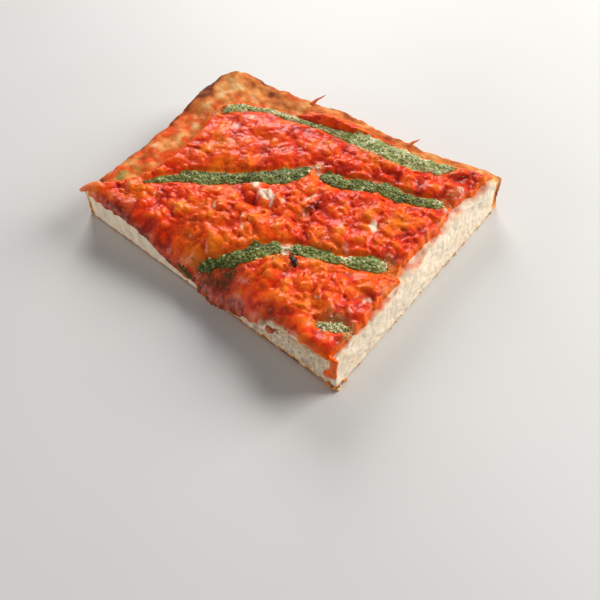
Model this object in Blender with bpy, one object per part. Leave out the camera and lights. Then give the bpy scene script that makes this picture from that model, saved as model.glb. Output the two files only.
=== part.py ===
"""Corner slice of focaccia pizza: a bread base, a baked tomato and cheese topping, and piped pesto stripes.

The plan is drawn in millimetres with the front cut corner at (0, 0). X runs along the right cut side,
Y along the left cut side and Z up from the flat underside. The meshes are moved at the end, so that the
origin of the part is the middle of its underside, and they are in metres.
"""
import math

import bmesh
import bpy
import numpy as np
from mathutils import Matrix, Vector
from mathutils.bvhtree import BVHTree

MM = 0.001
ORIGIN = np.array([57.108, 71.737, 0.0])
WELD = 0.000001

BREAD_COLOUR, SAUCE_COLOUR, PESTO_COLOUR = (0.72, 0.52, 0.34), (0.62, 0.07, 0.012), (0.1, 0.16, 0.05)

# Plan of the underside, one list of points for each side of the slice
GROUND_LEFT = [(0.0, 0.0), (-0.5, 139.5)]
GROUND_FRONT = [(0.0, 0.0), (119.3, 0.0)]
GROUND_RIGHT = [(119.3, 0.0), (115.6, 20.0), (113.2, 45.0), (112.0, 75.0), (110.0, 100.0),
                (109.0, 118.0), (107.0, 131.0), (102.0, 138.4)]
GROUND_BACK = [(-0.5, 139.5), (30.0, 140.4), (60.0, 141.8), (80.0, 142.8), (92.0, 142.2), (102.0, 138.4)]

# The same sides where the wall meets the shoulder of the crust, with the width of that shoulder
RIM_LEFT = [(1.0, 2.0, 0.8), (0.8, 24.0, 1.0), (0.5, 38.0, 2.2), (0.2, 50.0, 4.4), (0.0, 66.0, 5.4),
            (0.2, 82.0, 4.6), (0.4, 96.0, 2.2), (0.4, 118.0, 1.1), (0.2, 137.8, 0.8)]
RIM_FRONT = [(1.0, 2.0, 0.8), (30.0, 1.7, 0.7), (54.0, 2.1, 0.7), (64.0, 3.9, 0.8), (84.0, 4.1, 0.8),
             (100.0, 3.4, 0.8), (109.0, 2.4, 0.8), (117.0, 1.9, 0.9)]
RIM_RIGHT = [(117.0, 1.9, 0.9), (116.6, 10.0, 1.3), (113.8, 22.0, 1.8), (110.8, 36.0, 2.0),
             (109.4, 58.0, 2.0), (108.6, 80.0, 2.2), (106.0, 93.0, 2.6), (104.6, 108.0, 3.6),
             (103.6, 120.0, 5.0), (102.0, 130.0, 6.0), (97.2, 138.0, 6.0)]
RIM_BACK = [(0.2, 137.8, 0.8), (18.0, 137.6, 1.8), (40.0, 138.8, 2.2), (56.0, 140.8, 3.2),
            (68.0, 142.4, 4.8), (79.0, 143.4, 6.0), (90.0, 142.4, 6.4), (97.2, 138.0, 6.0)]

# Edge of the baked sauce on the bread
SAUCE_FRONT = [(1.8, 3.9), (14.0, 3.6), (38.0, 3.7), (46.0, 6.2), (58.0, 7.4), (68.0, 6.6), (73.0, 5.6),
               (80.0, 7.2), (92.0, 8.2), (102.0, 6.0), (109.0, 4.6), (113.4, 4.4)]
SAUCE_RIGHT = [(113.4, 4.4), (112.6, 10.0), (109.8, 20.0), (106.6, 28.0), (104.6, 38.0), (104.0, 54.0),
               (103.4, 68.0), (102.6, 80.0), (99.0, 89.0), (93.6, 96.0), (91.4, 104.0), (88.8, 112.4),
               (84.8, 120.0)]
SAUCE_BACK = [(1.2, 134.8), (7.0, 132.6), (13.0, 128.0), (21.0, 124.6), (34.0, 123.2), (48.0, 123.8),
              (58.0, 125.4), (66.0, 127.8), (73.0, 127.0), (79.0, 124.0), (84.8, 120.0)]
SAUCE_DRAPE = [(0.0, 18.0), (10.0, 17.8), (21.0, 16.8), (28.0, 15.6), (34.0, 13.2), (40.0, 10.0),
               (48.0, 7.0), (57.0, 5.4), (68.0, 5.4), (75.0, 7.0), (81.0, 9.4), (88.0, 11.2), (95.0, 12.4),
               (100.0, 14.4), (109.0, 15.6), (117.0, 16.6), (131.0, 15.4), (140.0, 14.0)]

# Height of the bare bread at the four corners of its plan, and what lifts or lowers it
SPAN_X, SPAN_Y = 119.3, 140.0
HEIGHT_FRONT, HEIGHT_RIGHT, HEIGHT_LEFT, HEIGHT_BACK = 19.2, 17.5, 14.2, 18.2
CROWN = 0.7
HUMP_AT, HUMP_SIZE, HUMP_HEIGHT, HUMP_FLATNESS = (82.0, 132.5), (17.0, 12.0), 4.1, 2.0
RIM_HEIGHT, RIM_WIDTH, RIM_CREST = 1.9, 7.0, 4.0
DROOP_AT, DROOP_SIZE, DROOP_DEPTH = (0.0, 68.0), (9.0, 27.0), 7.4
SWELL_AT, SWELL_SIZE, SWELL_HEIGHT = (0.0, 114.0), (16.0, 14.0), 2.0
WALL_WAVE, WALL_WAVE_CELL, WALL_WAVE_SLANT = 0.5, 7.0, 3.1
CRUST_WAVE, CRUST_WAVE_CELL = 0.45, 9.0
UNDERSIDE_EDGE = 0.8
FACE_TOP_SHARE = 0.72

# The sauce layer
SAUCE_THICKNESS = 2.3
SAUCE_EDGE = 0.55
SAUCE_PUFF, SAUCE_PUFF_REACH = 1.0, 7.0
LUMP_HEIGHT, LUMP_CELL = 0.75, 7.5
GROOVE_FLOOR, GROOVE_MARGIN = 0.9, 1.8
SAUCE_DRAPE_LEAST = 0.5
SAUCE_TAPERS = ((SAUCE_RIGHT, 0.15, 5.0), (SAUCE_BACK, 0.15, 5.0), (SAUCE_FRONT, 0.5, 3.0))
HEM_START, HEM_REACH = 0.4, 4.0
GAP = 0.3
# Lumps of cheese and puffed sauce, and hollows: place, half sizes, turn in degrees, height
FEATURES = [
    (46.5, 79.5, 4.5, 3.0, 30.0, 1.0),
    (43.0, 73.0, 3.6, 4.6, 20.0, 1.7),
    (37.0, 73.5, 2.2, 4.5, 15.0, -1.3),
    (45.0, 64.0, 4.0, 3.2, 0.0, 0.9),
    (25.5, 46.5, 3.0, 3.0, 0.0, 0.8),
    (47.0, 51.0, 6.0, 1.8, 5.0, -1.0),
    (86.5, 36.0, 2.2, 8.0, -10.0, -1.3),
    (92.0, 25.0, 3.6, 3.2, 0.0, -1.4),
    (102.0, 16.5, 3.4, 4.6, -20.0, -1.5),
    (98.5, 79.0, 3.8, 11.5, 4.0, 1.6),
    (107.0, 11.0, 6.0, 5.0, 0.0, 0.9),
    (91.0, 44.0, 4.0, 14.0, -8.0, 0.9),
    (-6.0, 61.0, 5.0, 10.0, 0.0, 2.4),
    (-7.0, 54.0, 4.0, 4.5, 0.0, 1.8),
    (60.0, 104.0, 14.0, 9.0, -40.0, 0.9),
    (76.0, 98.0, 8.0, 14.0, 10.0, 0.9),
    (20.0, 84.0, 12.0, 9.0, -45.0, 0.8),
    (58.0, 42.0, 8.0, 12.0, 20.0, 0.7),
    (18.0, 30.0, 10.0, 8.0, 0.0, 0.6),
]

# Pesto stripes: middle line with the width across it
PESTO_STRIPES = {
    "pesto_stripe_rim": [(72.0, 123.6, 2.6), (78.0, 120.6, 3.6), (83.0, 115.4, 4.0), (86.4, 109.0, 4.0),
                         (88.2, 102.0, 3.8), (89.6, 94.0, 3.6), (91.4, 86.0, 3.4), (93.4, 78.0, 3.4),
                         (95.2, 70.0, 5.0), (97.0, 60.0, 8.6), (97.8, 50.0, 8.8), (98.8, 40.0, 8.6),
                         (101.0, 31.0, 7.4), (104.4, 24.0, 5.6), (107.4, 19.6, 3.0)],
    "pesto_stripe_back": [(18.6, 120.0, 2.4), (23.2, 116.0, 4.2), (28.6, 111.2, 5.4), (33.8, 105.2, 7.4),
                          (38.2, 98.2, 8.4), (43.2, 91.4, 7.6), (48.2, 85.6, 7.2), (53.2, 79.6, 8.4),
                          (58.2, 74.0, 8.8), (63.6, 70.4, 6.8), (69.6, 69.0, 3.0)],
    "pesto_stripe_middle": [(67.4, 62.0, 4.0), (69.2, 58.0, 6.6), (70.2, 53.0, 6.6), (72.2, 48.4, 6.0),
                            (76.0, 43.0, 7.4), (78.8, 37.0, 7.8), (79.6, 30.0, 7.2), (81.4, 23.0, 6.2),
                            (84.6, 16.6, 5.6), (87.6, 12.0, 4.4)],
    "pesto_stripe_front": [(2.2, 72.2, 2.6), (7.0, 66.8, 5.0), (12.0, 61.6, 6.0), (17.0, 57.6, 7.4),
                           (22.6, 53.4, 7.2), (27.6, 48.4, 5.6), (31.0, 42.6, 5.8), (33.8, 35.6, 5.4),
                           (36.0, 29.0, 4.8), (39.2, 22.6, 6.4), (42.6, 16.6, 7.4), (45.0, 11.4, 6.0)],
    "pesto_stripe_corner": [(8.2, 16.2, 2.6), (10.0, 12.6, 3.8), (12.2, 8.6, 3.6), (13.6, 6.2, 2.2)],
}
PESTO_THICKNESS = 1.1
PESTO_RIM = 0.3
PESTO_LUMP, PESTO_LUMP_CELL = 0.25, 3.0
PESTO_STEP, PESTO_ACROSS, PESTO_END_STEPS = 3.0, 4, 2
PESTO_REACH = 1.2

# Sauce that has run or stuck out over the edge. A row of the drip is y and z of its two ends on the left face
DRIP_ROWS = [(0.9, 20.6, 5.0, 20.6), (0.9, 18.6, 4.4, 18.8), (0.9, 16.0, 3.9, 16.2), (0.9, 13.4, 3.9, 12.6),
             (0.6, 11.4, 5.0, 10.0), (0.4, 10.0, 6.2, 8.4), (0.5, 9.0, 6.3, 7.0), (0.9, 8.4, 5.6, 6.4)]
DRIP_ACROSS, DRIP_THICKNESS, DRIP_ROUND = 4, 1.1, 1.12
DRIP_HEAD_AT, DRIP_HEAD_SIZE, DRIP_HEAD_TURN = (2.8, 4.0, 20.7), (4.6, 3.2, 0.95), 50.0
TIP_SIDES, TIP_FLATNESS = 8, 0.6
CHEESE_TIP = [(4.6, 131.4, 19.0, 2.4), (0.9, 135.2, 18.1, 2.0), (-1.8, 137.8, 16.6, 1.1)]

# Cells of the meshes, and where the edges of the sauce meet the outline as shares of each side
SAUCE_U, SAUCE_V = 27, 33
CRUST_U, CRUST_V, STRIP_V = 4, 3, 1
SHOULDER_ROWS, FACE_ROWS = 3, 3
STOPS_FRONT, STOPS_BACK = [(SAUCE_U, 0.968), (CRUST_U, 1.0)], [(SAUCE_U, 0.855), (CRUST_U, 1.0)]
STOPS_LEFT = [(STRIP_V, 0.014), (SAUCE_V, 0.978), (CRUST_V, 1.0)]
STOPS_RIGHT = [(STRIP_V, 0.022), (SAUCE_V, 0.86), (CRUST_V, 1.0)]
CURVE_STEPS, SIDE_SAMPLES, NOISE_TABLE = 16, 40, 64
CRUST_SEED, WALL_SEED, SAUCE_SEED, PESTO_SEED = 5, 7, 11, 21
RAY_START = 60.0


def even(cells):
    """Shares from 0 to 1 at even spacing."""
    return np.linspace(0, 1, cells + 1)


def stations(stops):
    """Shares from 0 to 1 that reach each stop after its number of cells."""
    shares, start = [0.0], 0.0
    for cells, stop in stops:
        shares += [start + (stop - start) * k / cells for k in range(1, cells + 1)]
        start = stop
    return np.array(shares)


def spline(points, shares):
    """Points at the given shares of the length of a smooth curve; a third value rides along."""
    p = np.array(points, float)
    p = np.vstack([2 * p[0] - p[1], p, 2 * p[-1] - p[-2]])
    t = np.linspace(0, 1, CURVE_STEPS, endpoint=False)[:, None]
    pieces = []
    for a, b, c, d in zip(p, p[1:], p[2:], p[3:]):
        pieces.append(b + 0.5 * t * (c - a + t * (2 * a - 5 * b + 4 * c - d + t * (3 * (b - c) + d - a))))
    dense = np.vstack(pieces + [p[-2:-1]])
    along = np.concatenate([[0], np.cumsum(np.linalg.norm(np.diff(dense[:, :2], axis=0), axis=1))])
    return np.stack([np.interp(shares * along[-1], along, dense[:, k]) for k in range(p.shape[1])], 1)


def smooth(t):
    """A soft step from 0 to 1."""
    t = np.clip(t, 0.0, 1.0)
    return t * t * (3 - 2 * t)


def noise(x, y, cell, seed):
    """Smooth random waves between -1 and 1 with the given spacing."""
    table = np.random.default_rng(seed).uniform(-1, 1, (NOISE_TABLE, NOISE_TABLE))
    gx, gy = x / cell, y / cell
    ix, iy = np.floor(gx).astype(int), np.floor(gy).astype(int)
    fx, fy = smooth(gx - ix), smooth(gy - iy)
    ix, iy, jx, jy = (k % NOISE_TABLE for k in (ix, iy, ix + 1, iy + 1))
    low = table[ix, iy] * (1 - fx) + table[jx, iy] * fx
    high = table[ix, jy] * (1 - fx) + table[jx, jy] * fx
    return low * (1 - fy) + high * fy


def distance_to(x, y, line):
    """Distance in plan from each place to a polyline, and the line's third value at the nearest point."""
    best, value = np.full(np.shape(x), 1e9), np.zeros(np.shape(x))
    for a, b in zip(line, line[1:]):
        run = b[:2] - a[:2]
        t = np.clip(((x - a[0]) * run[0] + (y - a[1]) * run[1]) / (run @ run), 0, 1)
        away = np.hypot(x - a[0] - t * run[0], y - a[1] - t * run[1])
        if len(a) > 2:
            value = np.where(away < best, a[2] + t * (b[2] - a[2]), value)
        best = np.minimum(away, best)
    return best, value


def bread_height(x, y):
    """Height of the bare bread's top."""
    u, v = np.clip(x / SPAN_X, 0, 1), np.clip(y / SPAN_Y, 0, 1)
    near = HEIGHT_FRONT * (1 - u) + HEIGHT_RIGHT * u
    far = HEIGHT_LEFT * (1 - u) + HEIGHT_BACK * u
    z = near * (1 - v) + far * v + CROWN * 16 * u * (1 - u) * v * (1 - v)
    hump = ((x - HUMP_AT[0]) / HUMP_SIZE[0]) ** 2 + ((y - HUMP_AT[1]) / HUMP_SIZE[1]) ** 2
    droop = ((x - DROOP_AT[0]) / DROOP_SIZE[0]) ** 2 + ((y - DROOP_AT[1]) / DROOP_SIZE[1]) ** 4
    swell = ((x - SWELL_AT[0]) / SWELL_SIZE[0]) ** 2 + ((y - SWELL_AT[1]) / SWELL_SIZE[1]) ** 2
    z += HUMP_HEIGHT * np.exp(-hump ** HUMP_FLATNESS) - DROOP_DEPTH * np.exp(-droop)
    z += SWELL_HEIGHT * np.exp(-swell)
    for side in (RIM_RIGHT, RIM_BACK):
        away = distance_to(x, y, spline(side, even(SIDE_SAMPLES)))[0]
        z += RIM_HEIGHT * np.exp(-((away - RIM_CREST) / RIM_WIDTH) ** 2)
        z += CRUST_WAVE * noise(x, y, CRUST_WAVE_CELL, CRUST_SEED) * np.exp(-(away / RIM_WIDTH) ** 2)
    return z


def stripe_lines():
    """The middle line of every pesto stripe as a smooth curve with its width."""
    return [spline(points, even(SIDE_SAMPLES)) for points in PESTO_STRIPES.values()]


def feature_height(x, y):
    """Sum of the single lumps and hollows of the sauce."""
    z = np.zeros(np.shape(x))
    for at_x, at_y, half_x, half_y, turn, height in FEATURES:
        c, s = math.cos(math.radians(turn)), math.sin(math.radians(turn))
        along = ((x - at_x) * c + (y - at_y) * s) / half_x
        across = ((y - at_y) * c - (x - at_x) * s) / half_y
        z += height * np.exp(-(along ** 2 + across ** 2))
    return z


def sauce_thickness(x, y):
    """Thickness of the sauce and cheese, thin under the pesto and towards the crust."""
    z = SAUCE_THICKNESS + LUMP_HEIGHT * noise(x, y, LUMP_CELL, SAUCE_SEED) + feature_height(x, y)
    nearest, groove = np.full(np.shape(x), SAUCE_PUFF_REACH), np.zeros(np.shape(x))
    for line in stripe_lines():
        away, width = distance_to(x, y, line)
        nearest = np.minimum(nearest, away - width / 2)
        groove = np.maximum(groove, smooth((width / 2 + GROOVE_MARGIN - away) / GROOVE_MARGIN))
    z += SAUCE_PUFF * smooth(nearest / SAUCE_PUFF_REACH)
    z = z * (1 - groove) + GROOVE_FLOOR * groove
    for side, start, reach in SAUCE_TAPERS:
        away = distance_to(x, y, spline(side, even(SIDE_SAMPLES)))[0]
        z = SAUCE_EDGE + (z - SAUCE_EDGE) * smooth(start + away / reach)
    return np.maximum(SAUCE_EDGE, z)


def blend_curves(first, last, cells):
    """Points from one curve to another, indexed along the curves and then across."""
    t = even(cells)[None, :, None]
    return first[:, None] * (1 - t) + last[:, None] * t


def coons(front, back, left, right):
    """A patch of points between four curves, indexed along the front and then along the left."""
    u, v = even(len(front) - 1)[:, None, None], even(len(left) - 1)[None, :, None]
    ruled = front[:, None] * (1 - v) + back[:, None] * v + left[None] * (1 - u) + right[None] * u
    return ruled - (front[0] * (1 - u) + front[-1] * u) * (1 - v) - (back[0] * (1 - u) + back[-1] * u) * v


def inward(rim, turn):
    """Unit directions in plan that point into the slice from a side."""
    run = np.gradient(rim[:, :2], axis=0)
    return turn * np.stack([-run[:, 1], run[:, 0]], 1) / np.linalg.norm(run, axis=1)[:, None]


def outline():
    """Each side's rim, underside and the edge of the flat top, which the shoulder's width sets back."""
    sides = {"front": (RIM_FRONT, GROUND_FRONT, STOPS_FRONT, 1),
             "back": (RIM_BACK, GROUND_BACK, STOPS_BACK, -1),
             "left": (RIM_LEFT, GROUND_LEFT, STOPS_LEFT, -1),
             "right": (RIM_RIGHT, GROUND_RIGHT, STOPS_RIGHT, 1)}
    rim, ground, into, edge = {}, {}, {}, {}
    for name, (rim_points, ground_points, stops, turn) in sides.items():
        rim[name] = spline(rim_points, stations(stops))
        ground[name] = spline(ground_points, stations(stops))
        into[name] = inward(rim[name], turn)
        edge[name] = rim[name][:, :2] + into[name] * rim[name][:, 2:]
    for a, b, i, j in (("front", "left", 0, 0), ("front", "right", -1, 0), ("back", "left", 0, -1),
                       ("back", "right", -1, -1)):
        both = into[a][i] + into[b][j]
        corner = rim[a][i, :2] + rim[a][i, 2] * both / (1 + into[a][i] @ into[b][j])
        edge[a][i] = edge[b][j] = corner
    return rim, ground, edge


def top_grid(edge):
    """The bread's top as a grid with a line along each edge of the sauce."""
    nu, nv = SAUCE_U + CRUST_U, STRIP_V + SAUCE_V + CRUST_V
    low, high = STRIP_V, STRIP_V + SAUCE_V
    plan = np.zeros((nu + 1, nv + 1, 2))
    front, back = edge["front"][:SAUCE_U + 1], edge["back"][:SAUCE_U + 1]
    left = edge["left"][low:high + 1]
    sauce_front, sauce_back = spline(SAUCE_FRONT, even(SAUCE_U)), spline(SAUCE_BACK, even(SAUCE_U))
    sauce_front[0], sauce_back[0] = left[0], left[-1]
    sauce_right = spline(SAUCE_RIGHT, even(SAUCE_V))
    plan[:SAUCE_U + 1, low:high + 1] = coons(sauce_front, sauce_back, left, sauce_right)
    plan[:SAUCE_U + 1, :low + 1] = blend_curves(front, sauce_front, STRIP_V)
    plan[:SAUCE_U + 1, high:] = blend_curves(sauce_back, back, CRUST_V)
    plan[0] = edge["left"]
    plan[SAUCE_U:] = blend_curves(plan[SAUCE_U], edge["right"], CRUST_U).transpose(1, 0, 2)
    plan[SAUCE_U:, 0], plan[SAUCE_U:, -1] = edge["front"][SAUCE_U:], edge["back"][SAUCE_U:]
    return np.dstack([plan, bread_height(plan[..., 0], plan[..., 1])])


def side_rows(edge, rim, ground, lower):
    """Rows of points down one side: its shoulder, the sauce's lower edge, the face and the underside."""
    out = rim[:, :2] - edge[:, :2]
    away = out / np.linalg.norm(out, axis=1)[:, None]
    rows, foot = [], edge[:, 2] - rim[:, 2]
    for k in range(1, SHOULDER_ROWS + 1):
        turn = math.pi / 2 * k / SHOULDER_ROWS
        sunk = edge[:, 2] - rim[:, 2] * (1 - math.cos(turn))
        rows.append(np.column_stack([edge[:, :2] + out * math.sin(turn), sunk]))
    lower = np.minimum(lower, foot - SAUCE_DRAPE_LEAST)
    for k in range(FACE_ROWS + 1):
        z = lower + (UNDERSIDE_EDGE - lower) * k / FACE_ROWS
        down = ((foot - z) / (foot - UNDERSIDE_EDGE))[:, None]
        place = rim[:, :2] * (1 - down) + ground * down
        along = place[:, 0] + WALL_WAVE_SLANT * place[:, 1]
        wave = WALL_WAVE * noise(along, z, WALL_WAVE_CELL, WALL_SEED) * (k < FACE_ROWS)
        rows.append(np.column_stack([place + away * wave[:, None], z]))
    rows.append(np.column_stack([ground - away * UNDERSIDE_EDGE, np.zeros(len(ground))]))
    return np.array(rows)


def bread_points():
    """The top grid of the bread and the rows of points down each of its sides."""
    rim, ground, edge = outline()
    top = top_grid(edge)
    edges = {"front": top[:, 0], "back": top[:, -1], "left": top[0], "right": top[-1]}
    drape = np.array(SAUCE_DRAPE)
    rows = {}
    for name, points in edges.items():
        lower = points[:, 2] * FACE_TOP_SHARE
        if name == "left":
            lower = np.interp(points[:, 1], drape[:, 0], drape[:, 1])
        rows[name] = side_rows(points, rim[name], ground[name], lower)
    for a, b, i, j in (("front", "left", 0, 0), ("back", "left", 0, -1)):
        rows[a][:, i] = rows[b][:, j]
    return top, rows


def finish_mesh(name, points, faces, material, collection):
    """A mesh object from points in millimetres of the plan, moved to the part's own origin."""
    mesh = bpy.data.meshes.new(name)
    mesh.from_pydata([tuple((np.array(p) - ORIGIN) * MM) for p in points], [], faces)
    form = bmesh.new()
    form.from_mesh(mesh)
    bmesh.ops.remove_doubles(form, verts=form.verts, dist=WELD)
    bmesh.ops.recalc_face_normals(form, faces=form.faces)
    form.to_mesh(mesh)
    form.free()
    mesh.shade_smooth()
    mesh.materials.append(material)
    piece = bpy.data.objects.new(name, mesh)
    collection.objects.link(piece)
    return piece


def grid_faces(across, along, start=0):
    """Triangles of a grid of points that is indexed across and then along."""
    faces = []
    for i in range(across - 1):
        for j in range(along - 1):
            a = start + i * along + j
            faces += [(a, a + along, a + along + 1), (a, a + along + 1, a + 1)]
    return faces


def rim_order(across, along):
    """Index pairs once round the border of a grid."""
    return ([(i, 0) for i in range(across)] + [(across - 1, j) for j in range(1, along)]
            + [(i, along - 1) for i in range(across - 2, -1, -1)] + [(0, j) for j in range(along - 2, 0, -1)])


def make_bread(material, collection):
    """The bread: its top, the four sides and the flat underside, as one closed body."""
    top, rows = bread_points()
    across, along = top.shape[:2]
    points, faces = list(top.reshape(-1, 3)), grid_faces(across, along)
    ring = rim_order(across, along)
    previous = [i * along + j for i, j in ring]
    for k in range(SHOULDER_ROWS + FACE_ROWS + 2):
        current = []
        for i, j in ring:
            if j == 0 and i > 0:
                point = rows["front"][k, i]
            elif i == across - 1:
                point = rows["right"][k, j]
            elif j == along - 1:
                point = rows["back"][k, i]
            else:
                point = rows["left"][k, j]
            current.append(len(points))
            points.append(point)
        for a in range(len(ring)):
            b = (a + 1) % len(ring)
            faces += [(previous[a], current[a], current[b]), (previous[a], current[b], previous[b])]
        previous = current
    faces.append(tuple(previous))
    return finish_mesh("focaccia_base", points, faces, material, collection)


def slab_points(lower, upper):
    """Points and faces of a closed layer between two grids that match."""
    across, along = lower.shape[:2]
    count = across * along
    points = list(lower.reshape(-1, 3)) + list(upper.reshape(-1, 3))
    faces = [f[::-1] for f in grid_faces(across, along)] + grid_faces(across, along, count)
    ring = [i * along + j for i, j in rim_order(across, along)]
    for a, b in zip(ring, ring[1:] + ring[:1]):
        faces.append((a, b, b + count, a + count))
    return points, faces


def sheet_normals(sheet):
    """Unit normals that point out of a grid of points."""
    normal = np.cross(np.gradient(sheet, axis=0), np.gradient(sheet, axis=1))
    return normal / np.linalg.norm(normal, axis=2)[..., None]


def sauce_sheet():
    """The part of the bread's skin that the sauce covers, from its edge on the left side over the top."""
    top, rows = bread_points()
    covered = slice(STRIP_V, STRIP_V + SAUCE_V + 1)
    down = rows["left"][SHOULDER_ROWS::-1, covered]
    sheet = np.concatenate([down, top[:SAUCE_U + 1, covered]])
    step = np.linalg.norm(np.diff(sheet[:SHOULDER_ROWS + 2], axis=0), axis=2)
    unrolled = sheet[..., 0].copy()
    for k in range(SHOULDER_ROWS, -1, -1):
        unrolled[k] = unrolled[k + 1] - step[k]
    return sheet, unrolled


def make_sauce(material, collection):
    """The baked sauce and cheese, with what has run down or sticks out over the edge."""
    sheet, unrolled = sauce_sheet()
    normals = sheet_normals(sheet)
    thickness = sauce_thickness(unrolled, sheet[..., 1])
    hem = smooth(HEM_START + (unrolled - unrolled[0]) / HEM_REACH)
    thickness = SAUCE_EDGE + (thickness - SAUCE_EDGE) * hem
    lower = sheet + normals * GAP
    upper = lower + normals * thickness[..., None]
    points, faces = slab_points(lower, upper)
    sauce = finish_mesh("tomato_cheese_topping", points, faces, material, collection)
    extras = bpy.data.collections.new("sauce_extras")
    bpy.context.scene.collection.children.link(extras)
    make_drip(material, extras)
    make_blob("drip_head", DRIP_HEAD_AT, DRIP_HEAD_SIZE, DRIP_HEAD_TURN, material, extras)
    make_tip("cheese_tip", CHEESE_TIP, material, extras)
    join_all(sauce, extras)
    return sauce


def make_drip(material, collection):
    """The thin run of sauce down the left cut side beside the front corner, with a wider foot."""
    lower, upper = [], []
    for y_near, z_near, y_far, z_far in DRIP_ROWS:
        for share in even(DRIP_ACROSS):
            y, z = y_near + (y_far - y_near) * share, z_near + (z_far - z_near) * share
            x = RIM_LEFT[0][0] * z / HEIGHT_FRONT - GAP - WALL_WAVE
            crown = DRIP_THICKNESS * math.sqrt(DRIP_ROUND - (2 * share - 1) ** 2)
            lower.append((x, y, z))
            upper.append((x - crown, y, z))
    shape = (len(DRIP_ROWS), DRIP_ACROSS + 1, 3)
    points, faces = slab_points(np.array(lower).reshape(shape), np.array(upper).reshape(shape))
    return finish_mesh("corner_drip", points, faces, material, collection)


def make_blob(name, at, size, turn, material, collection):
    """A rounded lump with the given half sizes, turned in plan."""
    mesh = bpy.data.meshes.new(name)
    form = bmesh.new()
    bmesh.ops.create_uvsphere(form, u_segments=12, v_segments=7, radius=MM)
    form.to_mesh(mesh)
    form.free()
    mesh.materials.append(material)
    place = Matrix.Translation((np.array(at) - ORIGIN) * MM) @ Matrix.Rotation(math.radians(turn), 4, "Z")
    mesh.transform(place @ Matrix.Diagonal((*size, 1.0)))
    piece = bpy.data.objects.new(name, mesh)
    collection.objects.link(piece)
    return piece


def make_tip(name, stops, material, collection):
    """A rounded spike of cheese through the given places with their half widths."""
    places = np.array(stops)
    points, faces, sides = [], [], TIP_SIDES
    for k, (x, y, z, half) in enumerate(places):
        run = places[min(k + 1, len(places) - 1), :3] - places[max(k - 1, 0), :3]
        run /= np.linalg.norm(run)
        beside = np.cross(run, (0, 0, 1))
        beside /= np.linalg.norm(beside)
        over = np.cross(beside, run)
        for side in range(sides):
            turn = 2 * math.pi * side / sides
            ring = math.cos(turn) * beside + TIP_FLATNESS * math.sin(turn) * over
            points.append(np.array([x, y, z]) + half * ring)
    for k in range(len(places) - 1):
        for side in range(sides):
            a, b = k * sides + side, k * sides + (side + 1) % sides
            faces.append((a, b, b + sides, a + sides))
    faces += [tuple(range(sides)), tuple(range((len(places) - 1) * sides, len(places) * sides))]
    return finish_mesh(name, points, faces, material, collection)


def join_all(body, extras):
    """Join every object of a collection to the body in one union, and remove the collection."""
    union = body.modifiers.new("join", "BOOLEAN")
    union.operation, union.operand_type, union.solver = "UNION", "COLLECTION", "EXACT"
    union.collection = extras
    joined = bpy.data.meshes.new_from_object(body.evaluated_get(bpy.context.evaluated_depsgraph_get()))
    body.modifiers.clear()
    body.data = joined
    for piece in list(extras.objects):
        bpy.data.objects.remove(piece)
    bpy.data.collections.remove(extras)


def height_over(tree, x, y, reach):
    """Height in millimetres of the highest point that a solid has near a place."""
    best = 0.0
    for dx in (-reach, 0.0, reach):
        for dy in (-reach, 0.0, reach):
            start = Vector(((np.array([x + dx, y + dy, RAY_START]) - ORIGIN) * MM).tolist())
            hit = tree.ray_cast(start, Vector((0, 0, -1)))[0]
            if hit is not None:
                best = max(best, hit.z / MM + ORIGIN[2])
    return best


def make_stripe(name, points, below, material, collection):
    """One pesto stripe: a rounded ribbon laid in its groove of the sauce."""
    length = np.linalg.norm(np.diff(np.array(points)[:, :2], axis=0), axis=1).sum()
    line = spline(points, even(int(length / PESTO_STEP)))
    run = np.gradient(line[:, :2], axis=0)
    beside = np.stack([-run[:, 1], run[:, 0]], 1) / np.linalg.norm(run, axis=1)[:, None]
    depsgraph = bpy.context.evaluated_depsgraph_get()
    tree = BVHTree.FromObject(below, depsgraph)
    lower, upper = [], []
    for k, (x, y, width) in enumerate(line):
        for share in np.linspace(-1, 1, PESTO_ACROSS + 1):
            px, py = np.array([x, y]) + beside[k] * share * width / 2
            floor = height_over(tree, px, py, PESTO_REACH) + GAP
            end = min(1.0, (k + 1) / PESTO_END_STEPS, (len(line) - k) / PESTO_END_STEPS)
            crown = PESTO_RIM + (PESTO_THICKNESS - PESTO_RIM) * math.sqrt(1 - share ** 2) * end
            crown += PESTO_LUMP * float(noise(px, py, PESTO_LUMP_CELL, PESTO_SEED)) * (1 - share ** 2)
            lower.append((px, py, floor))
            upper.append((px, py, floor + crown))
    shape = (len(line), PESTO_ACROSS + 1, 3)
    points, faces = slab_points(np.array(lower).reshape(shape), np.array(upper).reshape(shape))
    return finish_mesh(name, points, faces, material, collection)


def make_material(name, colour, roughness):
    """A plain finish with the colour and roughness of one sub-part."""
    material = bpy.data.materials.new(name)
    material.use_nodes = True
    shader = material.node_tree.nodes["Principled BSDF"]
    shader.inputs["Base Color"].default_value = (*colour, 1.0)
    shader.inputs["Roughness"].default_value = roughness
    shader.inputs["Metallic"].default_value = 0.0
    material.diffuse_color = (*colour, 1.0)
    return material


def main():
    """Build the slice."""
    for old in list(bpy.data.objects):
        bpy.data.objects.remove(old)
    slice_parts = bpy.data.collections.new("focaccia_pizza")
    bpy.context.scene.collection.children.link(slice_parts)
    make_bread(make_material("baked_bread", BREAD_COLOUR, 0.8), slice_parts)
    sauce = make_sauce(make_material("tomato_and_cheese", SAUCE_COLOUR, 0.35), slice_parts)
    pesto = make_material("pesto", PESTO_COLOUR, 0.55)
    for name, points in PESTO_STRIPES.items():
        make_stripe(name, points, sauce, pesto, slice_parts)


main()
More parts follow.
